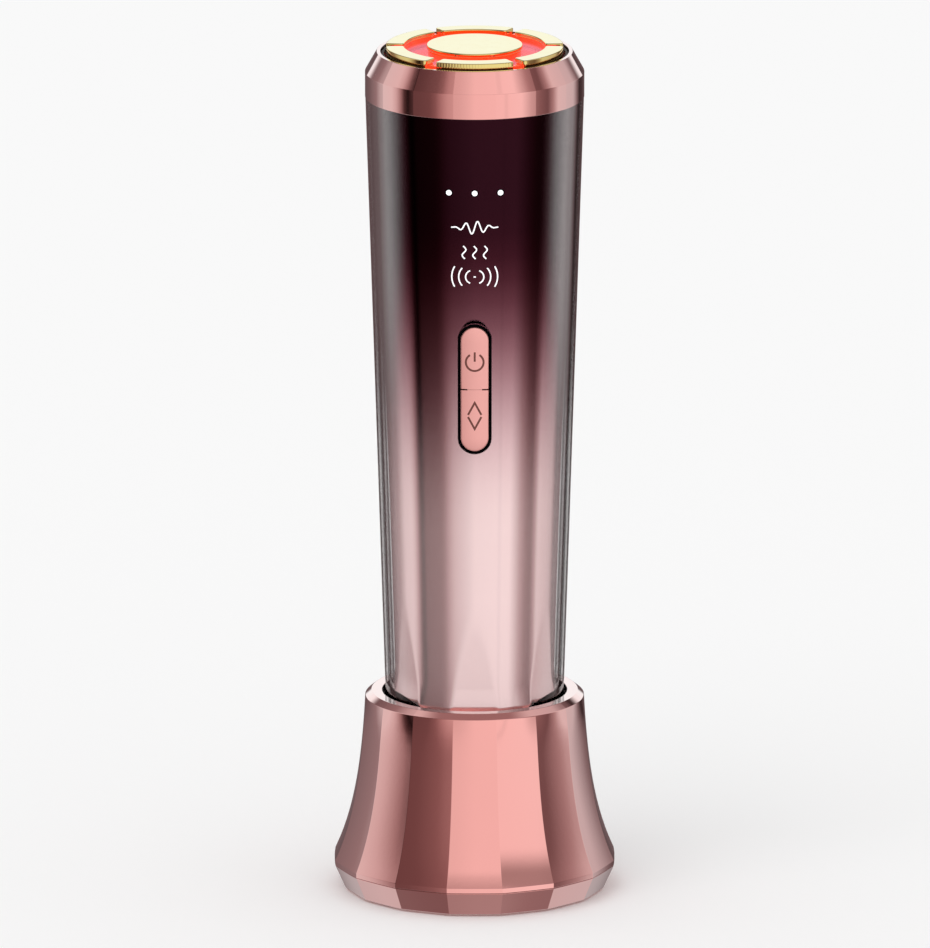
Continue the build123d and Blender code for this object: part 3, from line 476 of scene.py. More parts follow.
def faded_core(shades):
    """Lacquered core that fades from wine at the top to blush at the tail."""
    finish = Finish("faded_lacquer")
    low, high = span("inner_core")
    rise = (finish.part(finish.place(), "Z") - low) / (high - low)
    fade = finish.ramp(fade_stops(shades), rise)
    flow = finish.noise(30.0, 2.0, finish.stretched(1.0, 1.0, 0.15))
    pearl = finish.noise(2600.0, 1.0)
    paler = finish.node("ShaderNodeVectorMath", {"operation": "SCALE"}, {0: fade, "Scale": 1.08}).outputs[0]
    pale = 1 - finish.eased(rise, 0.25, 0.6)
    return finish.surface({
        "Base Color": finish.mixed(flow, fade, paler), "Metallic": 1 - pale * 0.22,
        "Roughness": 0.07 + flow * 0.05, "Normal": finish.bump(pearl, 0.0000006)})


def pink_light_guide(shades):
    """Frosted pink floor whose lands glow red from the lamps below them."""
    finish = Finish("pink_frost")
    floor_top = box("light_guide")[HIGH].z - bpy.context.scene.head_sizes.land
    lift = finish.part(finish.place(), "Z")
    wall = finish.eased(lift, floor_top + 0.4 * MM, floor_top + 1.3 * MM)
    cloud = finish.noise(260.0, 3.0)
    frost = finish.noise(2400.0, 2.0)
    ember = finish.mixed(cloud, shades.glow, linear(255, 86, 38))
    calm = linear(118, 78, 88)
    return finish.surface({
        "Base Color": finish.mixed(wall, shades.floor, linear(190, 30, 26)),
        "Emission Color": finish.mixed(wall, calm, ember), "Emission Strength": 1.0,
        "Roughness": 0.22 + frost * 0.2, "Normal": finish.bump(frost, 0.000008),
        "Coat Weight": 0.6, "Coat Roughness": 0.08})


def key_pink(shades):
    """Satin rose key with a fine grain and slight cloudiness."""
    finish = Finish("key_rose")
    grain = finish.noise(1800.0, 2.0)
    cloud = finish.noise(120.0, 2.0)
    return finish.surface({
        "Base Color": finish.mixed(cloud, shades.key, toned(shades.key, 0.93)), "Metallic": 0.75,
        "Roughness": 0.26 + grain * 0.08, "Normal": finish.bump(grain, 0.000004)})


def plain_plastic(name, tone, roughness, grain_scale=1500.0, depth=0.000012, gloss=0.5):
    """Moulded plastic or rubber with a fine spark-eroded grain and slight cloudiness."""
    finish = Finish(name)
    grain = finish.noise(grain_scale, 3.0)
    cloud = finish.noise(90.0, 2.0)
    base = linear(*tone)
    return finish.surface({
        "Base Color": finish.mixed(cloud, base, toned(base, 1.25, 0.002)), "Specular IOR Level": gloss,
        "Roughness": roughness + grain * 0.12, "Normal": finish.bump(grain, depth)})


def plain_metal(name, tone, roughness):
    """Machined or plated metal with fine drawn lines."""
    finish = Finish(name)
    lines = finish.noise(900.0, 3.0, finish.stretched(1.0, 1.0, 12.0))
    base = linear(*tone)
    return finish.surface({
        "Base Color": finish.mixed(lines, base, toned(base, 0.86)), "Metallic": 1.0,
        "Roughness": roughness + lines * 0.12, "Normal": finish.bump(lines, 0.000003)})


def circuit_board(name, tone):
    """Solder-masked board with faint copper tracks under the mask."""
    finish = Finish(name)
    base = linear(*tone)
    tracks = finish.node("ShaderNodeTexBrick", {"offset": 0.37, "squash": 1.6}, {
        "Vector": finish.place(), "Scale": 420.0, "Mortar Size": 0.06,
        "Color1": base, "Color2": toned(base, 0.85), "Mortar": toned(base, 1.6, 0.01)})
    weave = finish.noise(1600.0, 2.0)
    return finish.surface({
        "Base Color": tracks.outputs["Color"], "Roughness": 0.3 + weave * 0.15,
        "Normal": finish.bump(weave, 0.000006)})


def lit(name, tone, strength, fall=0.1):
    """Lamp that gives its own light, or printed line given a painted glow though it is no lamp; a share of
    the light falls away in clouds.
    """
    finish = Finish(name)
    cloud = finish.noise(700.0, 2.0)
    base = linear(*tone)
    light = finish.mixed(cloud, base, toned(base, 1 - fall))
    return finish.surface({
        "Base Color": light, "Emission Color": light, "Emission Strength": strength,
        "Roughness": 0.3 + cloud * 0.1})


def wrinkled_foil(name, tone):
    """Pouch foil with soft creases, its colour painted darker with the creases as their shade."""
    finish = Finish(name)
    crease = finish.noise(160.0, 4.0)
    base = linear(*tone)
    # Painted shade: the colour darkens with the crease noise that also makes the bumps
    return finish.surface({
        "Base Color": finish.mixed(crease, base, toned(base, 0.8)), "Metallic": 0.85,
        "Roughness": 0.28 + crease * 0.15, "Normal": finish.bump(crease, 0.00008)})


# Maker of each finish, with the values it takes; a maker without values takes the shades
FINISHES = {
    "rose_plated": (rose_plated,),
    "gold_electrode": (gold_electrode,),
    "clear_sleeve": (clear_sleeve, "clear_acrylic"),
    "faded_core": (faded_core,),
    "pink_light_guide": (pink_light_guide,),
    "key_pink": (key_pink,),
    "black_liner": (plain_plastic, "black_liner_plastic", (15, 14, 15), 0.42),
    "black_rubber": (plain_plastic, "soft_rubber", (18, 17, 18), 0.5, 2200.0),
    "black_frame": (plain_plastic, "frame_plastic", (10, 9, 10), 0.18),
    "key_black": (plain_plastic, "black_ring_plastic", (3, 2, 3), 0.5, 1500.0, 0.000012, 0.0),
    "key_mark": (plain_plastic, "key_mark", (104, 52, 42), 0.35),
    "grey_silicone": (plain_plastic, "pad_silicone", (128, 128, 130), 0.55),
    "switch_body": (plain_plastic, "switch_plastic", (36, 36, 38), 0.4),
    "chip_black": (plain_plastic, "chip_epoxy", (24, 24, 26), 0.45, 3000.0),
    "ferrite": (plain_plastic, "ferrite_grey", (70, 68, 68), 0.6, 2600.0),
    "white_ceramic": (plain_plastic, "ceramic_white", (225, 222, 214), 0.35),
    "amber_film": (plain_plastic, "film_amber", (190, 110, 30), 0.25),
    "wire_red": (plain_plastic, "wire_sheath", (150, 22, 20), 0.35),
    "weight_steel": (plain_metal, "zinc_steel", (190, 190, 196), 0.3),
    "screw_steel": (plain_metal, "screw_zinc", (176, 176, 182), 0.25),
    "socket_steel": (plain_metal, "socket_nickel", (205, 205, 208), 0.18),
    "brass_fitting": (plain_metal, "barrel_brass", (214, 178, 96), 0.22),
    "gold_contact": (plain_metal, "contact_gold", (238, 202, 120), 0.14),
    "green_board": (circuit_board, "board_green", (14, 82, 44)),
    "white_board": (circuit_board, "board_white", (222, 222, 218)),
    "milky_pipe": (lit, "milky_plastic", (246, 246, 248), 0.9, 0.2),
    # The printed signs glow with painted light, though they are no lamp
    "white_print": (lit, "print_white", (238, 238, 240), 0.85),
    "red_lamp": (lit, "lamp_red", (255, 44, 16), 1.6),
    "white_lamp": (lit, "lamp_white", (250, 250, 255), 1.2),
    "cell_foil": (wrinkled_foil, "foil_silver", (196, 198, 204)),
}
MADE_FINISHES = {}


def finish_of(name):
    """Finish by name, made once."""
    if name not in MADE_FINISHES:
        maker, *values = FINISHES[name]
        MADE_FINISHES[name] = maker(*values or [bpy.context.scene.wand_shades])
    return MADE_FINISHES[name]


# Light tent

# Brightness of the tent by its angle round the object, in degrees from the camera's side
TENT_LEVELS = (
    (-180, 0.20), (-160, 0.12), (-144, 0.18), (-128, 0.30), (-112, 0.74), (-97, 0.78), (-91, 0.66),
    (-85, 0.36), (-81, 0.08), (-76, 0.01), (-70, 0.12), (-48, 0.17), (-42, 0.25), (-36, 0.44), (-28, 0.64),
    (-8, 0.84), (0, 0.96), (32, 1.0), (34.5, 0.88), (37, 1.0), (50, 1.0), (58, 0.72), (66, 0.45),
    (75, 0.24), (84, 0.17), (91, 0.40), (98, 0.76), (128, 0.60), (137, 0.22), (143, 0.04), (162, 0.10),
    (180, 0.20),
)

# Its other panels: where each fades in by rise or turn, in degrees, or by depth, as a share of
# the tent's radius, and how bright or strong it is
GROUND_RISE = (-19, -29)
GROUND_DEPTH, BACK_DEPTH = (-0.3, 0.3), (0.72, 0.84)
GROUND_FRONT, GROUND_BACK, GROUND_SHARE = 0.24, 0.62, 0.75
BACK_RISE = (1, 7)
BROW_RISE, BROW_TURN = (25, 36, 39, 42), (-30, -10, 62, 80)
BROW_SLANT, BROW_SLANT_TURN = 11, (15, 35)
BROW_LEVEL, BROW_SHARE = 0.12, 0.65
CROWN_RISE, CROWN_LEVEL = (58, 72), 0.34


def tent_tone(level):
    """Colour of the tent at a brightness: its dark parts are warm."""
    warmth = 1 - min(level / 0.8, 1.0)
    return (level, level * (1 - 0.45 * warmth), level * (1 - 0.43 * warmth), 1.0)


# Mesh work

def polar(radius, turn):
    return Vector((radius * cos(turn), radius * sin(turn)))


def side_ring(radius, height, corner, crown, roundness=0.0):
    """Ring of points with softened, slightly bowed sides, which roundness turns into a circle."""
    spread = sin(HALF_FACET) - sin(HALF_FACET - crown)
    bulge = (radius * sin(HALF_FACET) - corner * sin(HALF_FACET - crown)) / spread
    reach = (radius - bulge) * cos(HALF_FACET) + (bulge - corner) * cos(HALF_FACET - crown)
    flat = []
    for facet in range(FACETS):
        turn = FRONT + 2 * HALF_FACET * facet
        for step in range(FLAT_STEPS + 1):
            tilt = crown * (2 * step / FLAT_STEPS - 1)
            flat.append(polar(radius - bulge, turn) + polar(bulge, turn + tilt))
        for step in range(1, CORNER_STEPS):
            tilt = crown + 2 * (HALF_FACET - crown) * step / CORNER_STEPS
            flat.append(polar(reach, turn + HALF_FACET) + polar(corner, turn + tilt))
    rounded = [point.lerp(point.normalized() * radius, roundness) for point in flat]
    return [Vector((point.x, point.y, height)) for point in rounded]


def round_ring(radius, height, steps=ROUND_STEPS):
    """Ring of points on a circle."""
    points = [polar(radius, FRONT + 2 * pi * step / steps) for step in range(steps)]
    return [Vector((point.x, point.y, height)) for point in points]


def softened(corners):
    """Outline through corners given as (across, up, radius), each rounded by its radius."""
    points = []
    for index, (across, up, radius) in enumerate(corners):
        here = Vector((across, up))
        if radius == 0:
            points.append(here)
            continue
        back = Vector(corners[index - 1][:2]) - here
        ahead = Vector(corners[(index + 1) % len(corners)][:2]) - here
        run = min(radius / tan(back.angle(ahead) / 2), back.length / 2.01, ahead.length / 2.01)
        start = here + back.normalized() * run
        end = here + ahead.normalized() * run
        for step in range(EDGE_STEPS + 1):
            part = step / EDGE_STEPS
            points.append(start * (1 - part) ** 2 + here * 2 * part * (1 - part) + end * part ** 2)
    return points


class Clay:
    """Points and faces of a piece, gathered skin by skin."""

    def __init__(self):
        self.points = []
        self.faces = []

    def skin(self, rings, closed=True):
        """Faces through rings. A closed skin joins the last ring to the first, an open one is capped."""
        start = len(self.points)
        count = len(rings[0])
        for ring in rings:
            self.points.extend(ring)
        rows = len(rings) if closed else len(rings) - 1
        for row in range(rows):
            low = start + row * count
            high = start + (row + 1) % len(rings) * count
            for column in range(count):
                ahead = (column + 1) % count
                self.faces.append((low + column, low + ahead, high + ahead, high + column))
        if not closed:
            self.faces.append(tuple(range(start, start + count)))
            self.faces.append(tuple(range(start + rows * count, start + (rows + 1) * count)))
        return self

    def piece(self, name, crease=CREASE):
        """Mesh object with outward faces, smooth but for edges sharper than the crease."""
        mesh = bpy.data.meshes.new(name)
        mesh.from_pydata(self.points, [], self.faces)
        work = bmesh.new()
        work.from_mesh(mesh)
        bmesh.ops.recalc_face_normals(work, faces=work.faces)
        work.to_mesh(mesh)
        work.free()
        mesh.shade_smooth()
        mesh.set_sharp_from_angle(angle=radians(crease))
        made = bpy.data.objects.new(name, mesh)
        bpy.context.scene.collection.objects.link(made)
        return made


def carve(piece, cutters):
    """Cuts the cutters out of a piece for good, and removes them."""
    for cutter in cutters:
        opening = piece.modifiers.new("opening", "BOOLEAN")
        opening.operation = "DIFFERENCE"
        opening.solver = "EXACT"
        opening.object = cutter
    bpy.context.view_layer.update()
    graph = bpy.context.evaluated_depsgraph_get()
    mesh = bpy.data.meshes.new_from_object(piece.evaluated_get(graph))
    piece.modifiers.clear()
    piece.data = mesh
    mesh.shade_smooth()
    mesh.set_sharp_from_angle(angle=radians(CREASE))
    for cutter in cutters:
        bpy.data.objects.remove(cutter)


def even_shading(piece):
    """Lets the large faces set the shading, so that flats look flat."""
    weight = piece.modifiers.new("even_shading", "WEIGHTED_NORMAL")
    weight.keep_sharp = True
    return piece


def settle(piece, body, slot, *nodes, finish=None):
    """Gives a piece its body, its slot with the finish of that name or another, and its nodes."""
    piece.data.materials.clear()
    piece.data.materials.append(finish_of(finish or slot))
    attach(piece, body)
    if nodes:
        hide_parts(*nodes)


def lathe(name, outline, closed=True):
    """Piece turned from an outline of (radius, height) points."""
    rings = [round_ring(radius, height) for radius, height in outline]
    return Clay().skin(rings, closed).piece(name)


def rings_at(spot, outline, steps):
    """Rings through an outline of (radius, height) points, about an upright axis at a spot."""
    shift = Vector((spot.x, spot.y, 0))
    return [[point + shift for point in round_ring(radius, height, steps)] for radius, height in outline]


def block(name, left, right, near, far, levels):
    """Upright block between two places across, two in depth and two levels."""
    plan = ((left, near), (right, near), (right, far), (left, far))
    rings = [[Vector((x, y, level)) for x, y in plan] for level in levels]
    return Clay().skin(rings, closed=False).piece(name)


# Shapes shared by the pieces

def sleeve_radius(sizes, height):
    """Outer radius of the tapered sleeve at a height."""
    corner = box("outer_sleeve")[HIGH]
    return corner.x - (corner.z - height) * tan(sizes.taper)


def core_radius(sizes, height, turn):
    """Radius of the core at a height, cut to six flats at its tail."""
    low, high = span("inner_core")
    part = (height - low) / (high - low)
    top = box("outer_sleeve")[HIGH].x - sizes.wall - sizes.core_gap
    pull = (sizes.core_tail + top) / 2 - 2 * sizes.core_bow
    tail = sizes.core_tail

    def turned(share_up):
        return (1 - share_up) ** 2 * tail + 2 * share_up * (1 - share_up) * pull + share_up ** 2 * top

    low_flat = tail - sizes.flat_inset
    rise = (turned(sizes.flat_height / (high - low)) - low_flat) / sizes.flat_height
    side = (turn - FRONT + pi / 6) % (pi / 3) - pi / 6
    flat = (low_flat + rise * (height - low)) / cos(side)
    rounded = turned(part)
    blend = min(max(0.5 + (flat - rounded) / (2 * sizes.edge), 0.0), 1.0)
    return flat * (1 - blend) + rounded * blend - sizes.edge * blend * (1 - blend)


def on_front(radius, across, height):
    """Point on the front of a round body."""
    return Vector((across, -sqrt(radius ** 2 - across ** 2), height))


def stadium(height, width):
    """Points round an upright stadium, as (across, up)."""
    steps = 24
    radius = width / 2
    straight = height / 2 - radius
    points = []
    for side in (1, -1):
        for step in range(steps + 1):
            turn = pi * step / steps
            points.append((side * radius * cos(turn), side * (straight + radius * sin(turn))))
    return points


def key_middle(keys):
    return box("outer_sleeve")[HIGH].z - keys.drop


def key_ring(sizes, keys, grow, proud):
    """Stadium ring on the sleeve's front, grown by a margin and standing proud."""
    middle = key_middle(keys)
    ring = []
    for across, up in stadium(keys.height + 2 * grow, keys.width + 2 * grow):
        height = middle + up * cos(sizes.taper)
        ring.append(on_front(sleeve_radius(sizes, height) + proud, across, height))
    return ring


def arc_outline(inner, outer, half_angle, corner, turn, inset=0.0, ribs=None):
    """Outline of a ring sector with rounded corners, as points in plan."""
    middle = (inner + outer) / 2
    half_long = middle * half_angle - inset
    half_wide = (outer - inner) / 2 - inset
    round_corner = max(corner - inset, 0.05 * MM)
    straight = half_long - round_corner
    steps = 90 if ribs else 28
    points = []
    for side in (1, -1):
        for step in range(steps + 1):
            points.append((side * straight * (1 - 2 * step / steps), side * half_wide))
        for first, lift, count in ((pi / 2, side, 5), (pi, -side, 4)):
            for step in range(1, count + 1):
                bend = first + pi / 2 * step / 5
                points.append((-side * straight + side * round_corner * cos(bend),
                               lift * (half_wide - round_corner) + side * round_corner * sin(bend)))
    plan = []
    for along, across in points:
        groove = 0.0
        if ribs and across > half_wide * 0.999:
            groove = ribs.rib_depth * (0.5 + 0.5 * cos(2 * pi * along / ribs.rib_pitch))
        plan.append(polar(middle + across - groove, turn + along / middle))
    return plan


def raised(plan, height):
    return [Vector((point.x, point.y, height)) for point in plan]


def rounded_slab(clay, outline, low, high, edge):
    """Slab whose top edge is rounded; outline gives the plan for an inset."""
    rings = [raised(outline(0.0), low)]
    for step in range(EDGE_STEPS + 1):
        bend = pi / 2 * step / EDGE_STEPS
        rings.append(raised(outline(edge * (1 - cos(bend))), high - edge + edge * sin(bend)))
    clay.skin(rings, closed=False)


def printed(name, paths, width, thickness, place):
    """Thin lines along paths of (across, up) points, laid where place puts them."""
    clay = Clay()
    for path in paths:
        rings = []
        for index, point in enumerate(path):
            here = Vector(point)
            back = Vector(path[max(index - 1, 0)])
            ahead = Vector(path[min(index + 1, len(path) - 1)])
            along = (ahead - back).normalized()
            spread = 1.0
            if 0 < index < len(path) - 1:
                bend = (here - back).angle(ahead - here)
                spread = 1 / max(cos(bend / 2), 0.3)
            side = Vector((-along.y, along.x)) * width / 2 * spread
            left, right = here + side, here - side
            rings.append([place(left.x, left.y, 0.0), place(right.x, right.y, 0.0),
                          place(right.x, right.y, thickness), place(left.x, left.y, thickness)])
        clay.skin(rings, closed=False)
    return clay.piece(name)


# Operators

class WAND_OT_studio(bpy.types.Operator):
    """Floor, light tent, soft lamp, even light and the camera"""
    bl_idname = "wand.studio"
    bl_label = "Studio"

    def execute(self, context):
        studio = context.scene.wand_studio
        self.even_light(context, studio)
        self.floor(studio)
        self.tent()
        self.camera(context, studio)
        lamp = bpy.data.lights.new("soft_lamp", "SUN")
        lamp.energy = studio.sun
        lamp.angle = radians(40)
        holder = bpy.data.objects.new("soft_lamp", lamp)
        holder.rotation_euler = (radians(28), radians(-22), 0)
        context.scene.collection.objects.link(holder)
        context.scene.view_settings.view_transform = "Standard"
        return {"FINISHED"}

    def even_light(self, context, studio):
        """World that lights evenly and shows as a pale backdrop."""
        world = bpy.data.worlds.new("even_light")
        context.scene.world = world
        world.use_nodes = True
        shade = Finish("even_light", world.node_tree)
        rays = shade.node("ShaderNodeLightPath").outputs
        seen = shade.number(rays["Is Camera Ray"])
        for name in ("Is Glossy Ray", "Is Transmission Ray"):
            seen = seen.maths("MAXIMUM", seen, rays[name])
        strength = studio.fill + seen * (studio.background - studio.fill)
        light = shade.node("ShaderNodeBackground", values={"Color": (1, 1, 1, 1), "Strength": strength})
        shade.node("ShaderNodeOutputWorld", values={"Surface": light.outputs[0]})

    def floor(self, studio):
        """Pale floor, which takes the soft shadow."""
        side = 30.0
        clay = Clay()
        clay.points = [Vector((x * side, y * side, 0)) for x, y in ((-1, -1), (1, -1), (1, 1), (-1, 1))]
        clay.faces = [(0, 1, 2, 3)]
        floor = clay.piece("studio_floor")
        finish = Finish("floor_paper")
        tone = (studio.background, studio.background, studio.background, 1.0)
        speck = finish.noise(90.0, 2.0)
        paper = finish.node("ShaderNodeBsdfPrincipled", values={
            "Base Color": tone, "Roughness": 0.9 + speck * 0.05, "Specular IOR Level": 0.0})
        clear = finish.node("ShaderNodeBsdfTransparent")
        below = finish.node("ShaderNodeNewGeometry").outputs["Backfacing"]
        sheet = finish.node("ShaderNodeMixShader", values={
            0: below, 1: paper.outputs[0], 2: clear.outputs[0]})
        floor.data.materials.append(finish.output(sheet.outputs[0]))
        floor.visible_glossy = False

    def tent(self):
        """Light tent that only reflections see: bright panels with dark gaps between them."""
        radius = 8.0
        steps = 48
        rings = []
        for row in range(1, steps):
            rise = pi * row / steps - pi / 2
            rings.append(round_ring(radius * cos(rise), radius * sin(rise), 2 * steps))
        tent = Clay().skin(rings, closed=False).piece("light_tent")
        finish = Finish("tent_light")
        geometry = finish.node("ShaderNodeNewGeometry").outputs["Position"]
        across, back, up = (finish.part(geometry, axis) for axis in "XYZ")
        turn = across.maths("ARCTAN2", across, 0 - back) * (180 / pi)
        rise = up.maths("ARCSINE", up / radius) * (180 / pi)
        stops = [(degrees / 360 + 0.5, tent_tone(level)) for degrees, level in TENT_LEVELS]
        sides = finish.ramp(stops, turn / 360 + 0.5)
        near, far = (radius * depth for depth in GROUND_DEPTH)
        ground = finish.mixed(finish.eased(back, near, far),
                              tent_tone(GROUND_FRONT), tent_tone(GROUND_BACK))
        tone = finish.mixed(finish.eased(rise, *GROUND_RISE) * GROUND_SHARE, sides, ground)
        near, far = (radius * depth for depth in BACK_DEPTH)
        behind = finish.eased(back, near, far) * finish.eased(rise, *BACK_RISE)
        tone = finish.mixed(behind, tone, tent_tone(1.0))
        slanted = rise + finish.eased(turn, *BROW_SLANT_TURN) * BROW_SLANT
        brow = finish.band(slanted, *BROW_RISE) * finish.band(turn, *BROW_TURN)
        tone = finish.mixed(brow * BROW_SHARE, tone, tent_tone(BROW_LEVEL))
        tone = finish.mixed(finish.eased(rise, *CROWN_RISE), tone, tent_tone(CROWN_LEVEL))
        material = finish.surface({
            "Base Color": (0.0, 0.0, 0.0, 1.0), "Specular IOR Level": 0.0, "Roughness": 1.0,
            "Emission Color": tone, "Emission Strength": 1.0})
        material.cycles.emission_sampling = "NONE"
        tent.data.materials.append(material)
        tent.visible_camera = False
        tent.visible_diffuse = False
        tent.visible_transmission = False
        tent.visible_shadow = False

    def camera(self, context, studio):
        """Long lens at the photograph's height over the horizon."""
        lens = bpy.data.cameras.new("camera")
        lens.sensor_width = 36.0
        lens.lens = lens.sensor_width * studio.distance / studio.view_height
        lens.clip_start = 0.1
        lens.clip_end = 100.0
        camera = bpy.data.objects.new("camera", lens)
        aim = Vector((studio.aim_across, 0, studio.aim_up))
        away = Vector((0, -cos(studio.elevation), sin(studio.elevation)))
        camera.location = aim + away * studio.distance
        camera.rotation_euler = (pi / 2 - studio.elevation, 0, 0)
        context.scene.collection.objects.link(camera)
        context.scene.camera = camera


class WAND_OT_casing(bpy.types.Operator):
    """Plated casing of the stand: band, flare, rim and socket opening"""
    bl_idname = "wand.casing"
    bl_label = "Stand casing"

    def execute(self, context):
        stand = context.scene.stand_sizes
        rim_top = box("stand_shell")[HIGH].z
        band_top = stand.seam + stand.band
        shoulder = band_top + stand.flare
        cup_top = rim_top - stand.rim_thickness
        floor = exp(-stand.sharpness)

        def flare(part):
            fall = (exp(-stand.sharpness * part) - floor) / (1 - floor)
            return stand.shoulder + (stand.widest - stand.shoulder) * fall

        inner_shoulder = stand.shoulder - stand.wall
        corners = [(stand.widest - stand.wall, stand.seam, 0), (stand.widest, stand.seam, CRISP),
                   (stand.widest, band_top, SOFT)]
        steps = 16
        for step in range(1, steps):
            part = step / steps
            corners.append((flare(part), band_top + stand.flare * part, 0))
        corners += [(stand.shoulder, shoulder, SOFT),
                    (stand.shoulder - stand.rim_bevel, rim_top, 0.22 * MM),
                    (stand.mouth, rim_top, SOFT), (stand.mouth, cup_top, 0),
                    (inner_shoulder, cup_top, 0)]
        for step in range(steps - 1, 0, -1):
            part = step / steps
            corners.append((flare(part) - stand.wall, band_top + stand.flare * part, 0))
        round_from = shoulder - 0.7 * MM
        nearly_round = 0.85
        rings = []
        for radius, height in softened(corners):
            rise = min(max((height - shoulder) / stand.round_height + 1, 0.0), 1.0)
            roundness = 1.0 if height > round_from else nearly_round * rise ** 2
            rings.append(side_ring(radius, height, stand.corner, stand.crown, roundness))
        casing = Clay().skin(rings).piece("stand_casing")
        carve(casing, [self.socket_cutter(stand)])
        settle(even_shading(casing), "stand", "rose_plated", "stand_shell")
        return {"FINISHED"}

    def socket_cutter(self, stand):
        """Rounded bar through the back of the casing."""
        low, high = box("usb_socket")
        middle = (low.z + high.z) / 2
        start, end = low.y + 2 * MM, high.y + 6 * MM
        outline = stadium(stand.socket_width, stand.socket_height)
        rings = []
        for back in (start, end):
            rings.append([Vector((up, back, middle + across)) for across, up in outline])
        return Clay().skin(rings, closed=False).piece("socket_cutter")


class WAND_OT_tray(bpy.types.Operator):
    """Tray under the casing, with recesses for its feet and screws"""
    bl_idname = "wand.tray"
    bl_label = "Stand tray"

    def execute(self, context):
        stand = context.scene.stand_sizes
        pad_room, screw_room, lip_room = 0.1 * MM, 0.3 * MM, 0.8 * MM
        pad_top, screw_top, below = 1.7 * MM, 2.1 * MM, -1.0 * MM
        inner = stand.widest - stand.tray_wall
        lip_out = stand.widest - stand.wall - lip_room
        lip_top = stand.seam + stand.lip
        floor_top = stand.foot_lift + stand.tray_floor
        seam = stand.seam - 0.05 * MM
        corners = [(stand.foot * 0.9, stand.foot_lift, 0), (stand.foot, stand.foot_lift, 0.35 * MM),
                   (stand.widest, seam, CRISP), (lip_out, seam, 0), (lip_out, lip_top, SOFT),
                   (inner, lip_top, SOFT), (inner, floor_top, 0), (inner * 0.5, floor_top, 0)]
        rings = [side_ring(radius, height, stand.corner, stand.crown)
                 for radius, height in softened(corners)]
        tray = Clay().skin(rings, closed=False).piece("stand_tray")
        pads = [polar(stand.pad_circle, quarter * pi / 2) for quarter in range(4)]
        screws = [polar(stand.screw_circle, quarter * pi / 2 + pi / 4) for quarter in range(4)]
        recesses = [(spot, stand.pad_radius + pad_room, pad_top) for spot in pads]
        recesses += [(spot, stand.screw_radius + screw_room, screw_top) for spot in screws]
        drills = [Clay().skin(rings_at(spot, ((radius, below), (radius, top)), 48), closed=False)
                  for spot, radius, top in recesses]
        carve(tray, [drill.piece("drill") for drill in drills])
        settle(even_shading(tray), "stand", "rose_plated", "stand_foot")
        self.pads(stand, pads)
        self.screws(stand, screws)
        return {"FINISHED"}

    def pads(self, stand, spots):
        """Four rubber feet with softened edges and a shallow dish."""
        high = box("rubber_feet")[HIGH].z
        radius = stand.pad_radius
        dish = 0.12 * MM
        outline = softened([(radius * 0.3, dish, 0), (radius * 0.75, dish, 0), (radius * 0.8, 0, 0.1 * MM),
                            (radius, 0, SOFT), (radius, high, 0), (radius * 0.5, high, 0)])
        clay = Clay()
        for spot in spots:
            clay.skin(rings_at(spot, outline, 48), closed=False)
        settle(clay.piece("rubber_pads"), "stand", "black_rubber", "rubber_feet")

    def screws(self, stand, spots):
        """Four pan-head screws with a crossed slot each."""
        low, high = span("base_screws")
        neck = low + stand.screw_head
        head, shank, point = stand.screw_radius, 1.0 * MM, 0.3 * MM
        slot_long, slot_wide, slot_deep = 1.5 * MM, 0.3 * MM, 0.8 * MM
        outline = softened([(head * 0.4, low, 0), (head, low, 0.5 * MM), (head, neck, 0),
                            (shank, neck, 0), (shank, high, 0.2 * MM), (point, high, 0)])
        for number, spot in enumerate(spots, 1):
            screw = Clay().skin(rings_at(spot, outline, 40), closed=False).piece(f"casing_screw_{number}")
            slots = [block("slot_cutter", spot.x - across, spot.x + across, spot.y - along, spot.y + along,
                           (low - 1 * MM, low + slot_deep))
                     for across, along in ((slot_long, slot_wide), (slot_wide, slot_long))]
            carve(screw, slots)
            nodes = ("base_screws",) if number == 1 else ()
            settle(screw, "stand", "screw_steel", *nodes)


class WAND_OT_sleeve(bpy.types.Operator):
    """Clear tapered sleeve with the opening for the keys"""
    bl_idname = "wand.sleeve"
    bl_label = "Clear sleeve"

    def execute(self, context):
        sizes = context.scene.wand_sizes
        keys = context.scene.key_sizes
        low, high = span("outer_sleeve")
        rows = 54
        heights = [low + (high - low) * row / rows for row in range(rows + 1)]
        outer = [round_ring(sleeve_radius(sizes, height), height) for height in heights]
        inner = [round_ring(sleeve_radius(sizes, height) - sizes.wall, height)
                 for height in reversed(heights)]
        sleeve = Clay().skin(outer + inner).piece("clear_tube")
        room, ahead, behind = 0.1 * MM, 2 * MM, -4 * MM
        opening = [key_ring(sizes, keys, keys.gap + keys.ring + room, proud) for proud in (ahead, behind)]
        carve(sleeve, [Clay().skin(opening, closed=False).piece("key_cutter")])
        settle(sleeve, "wand", "clear_sleeve", "outer_sleeve")
        return {"FINISHED"}


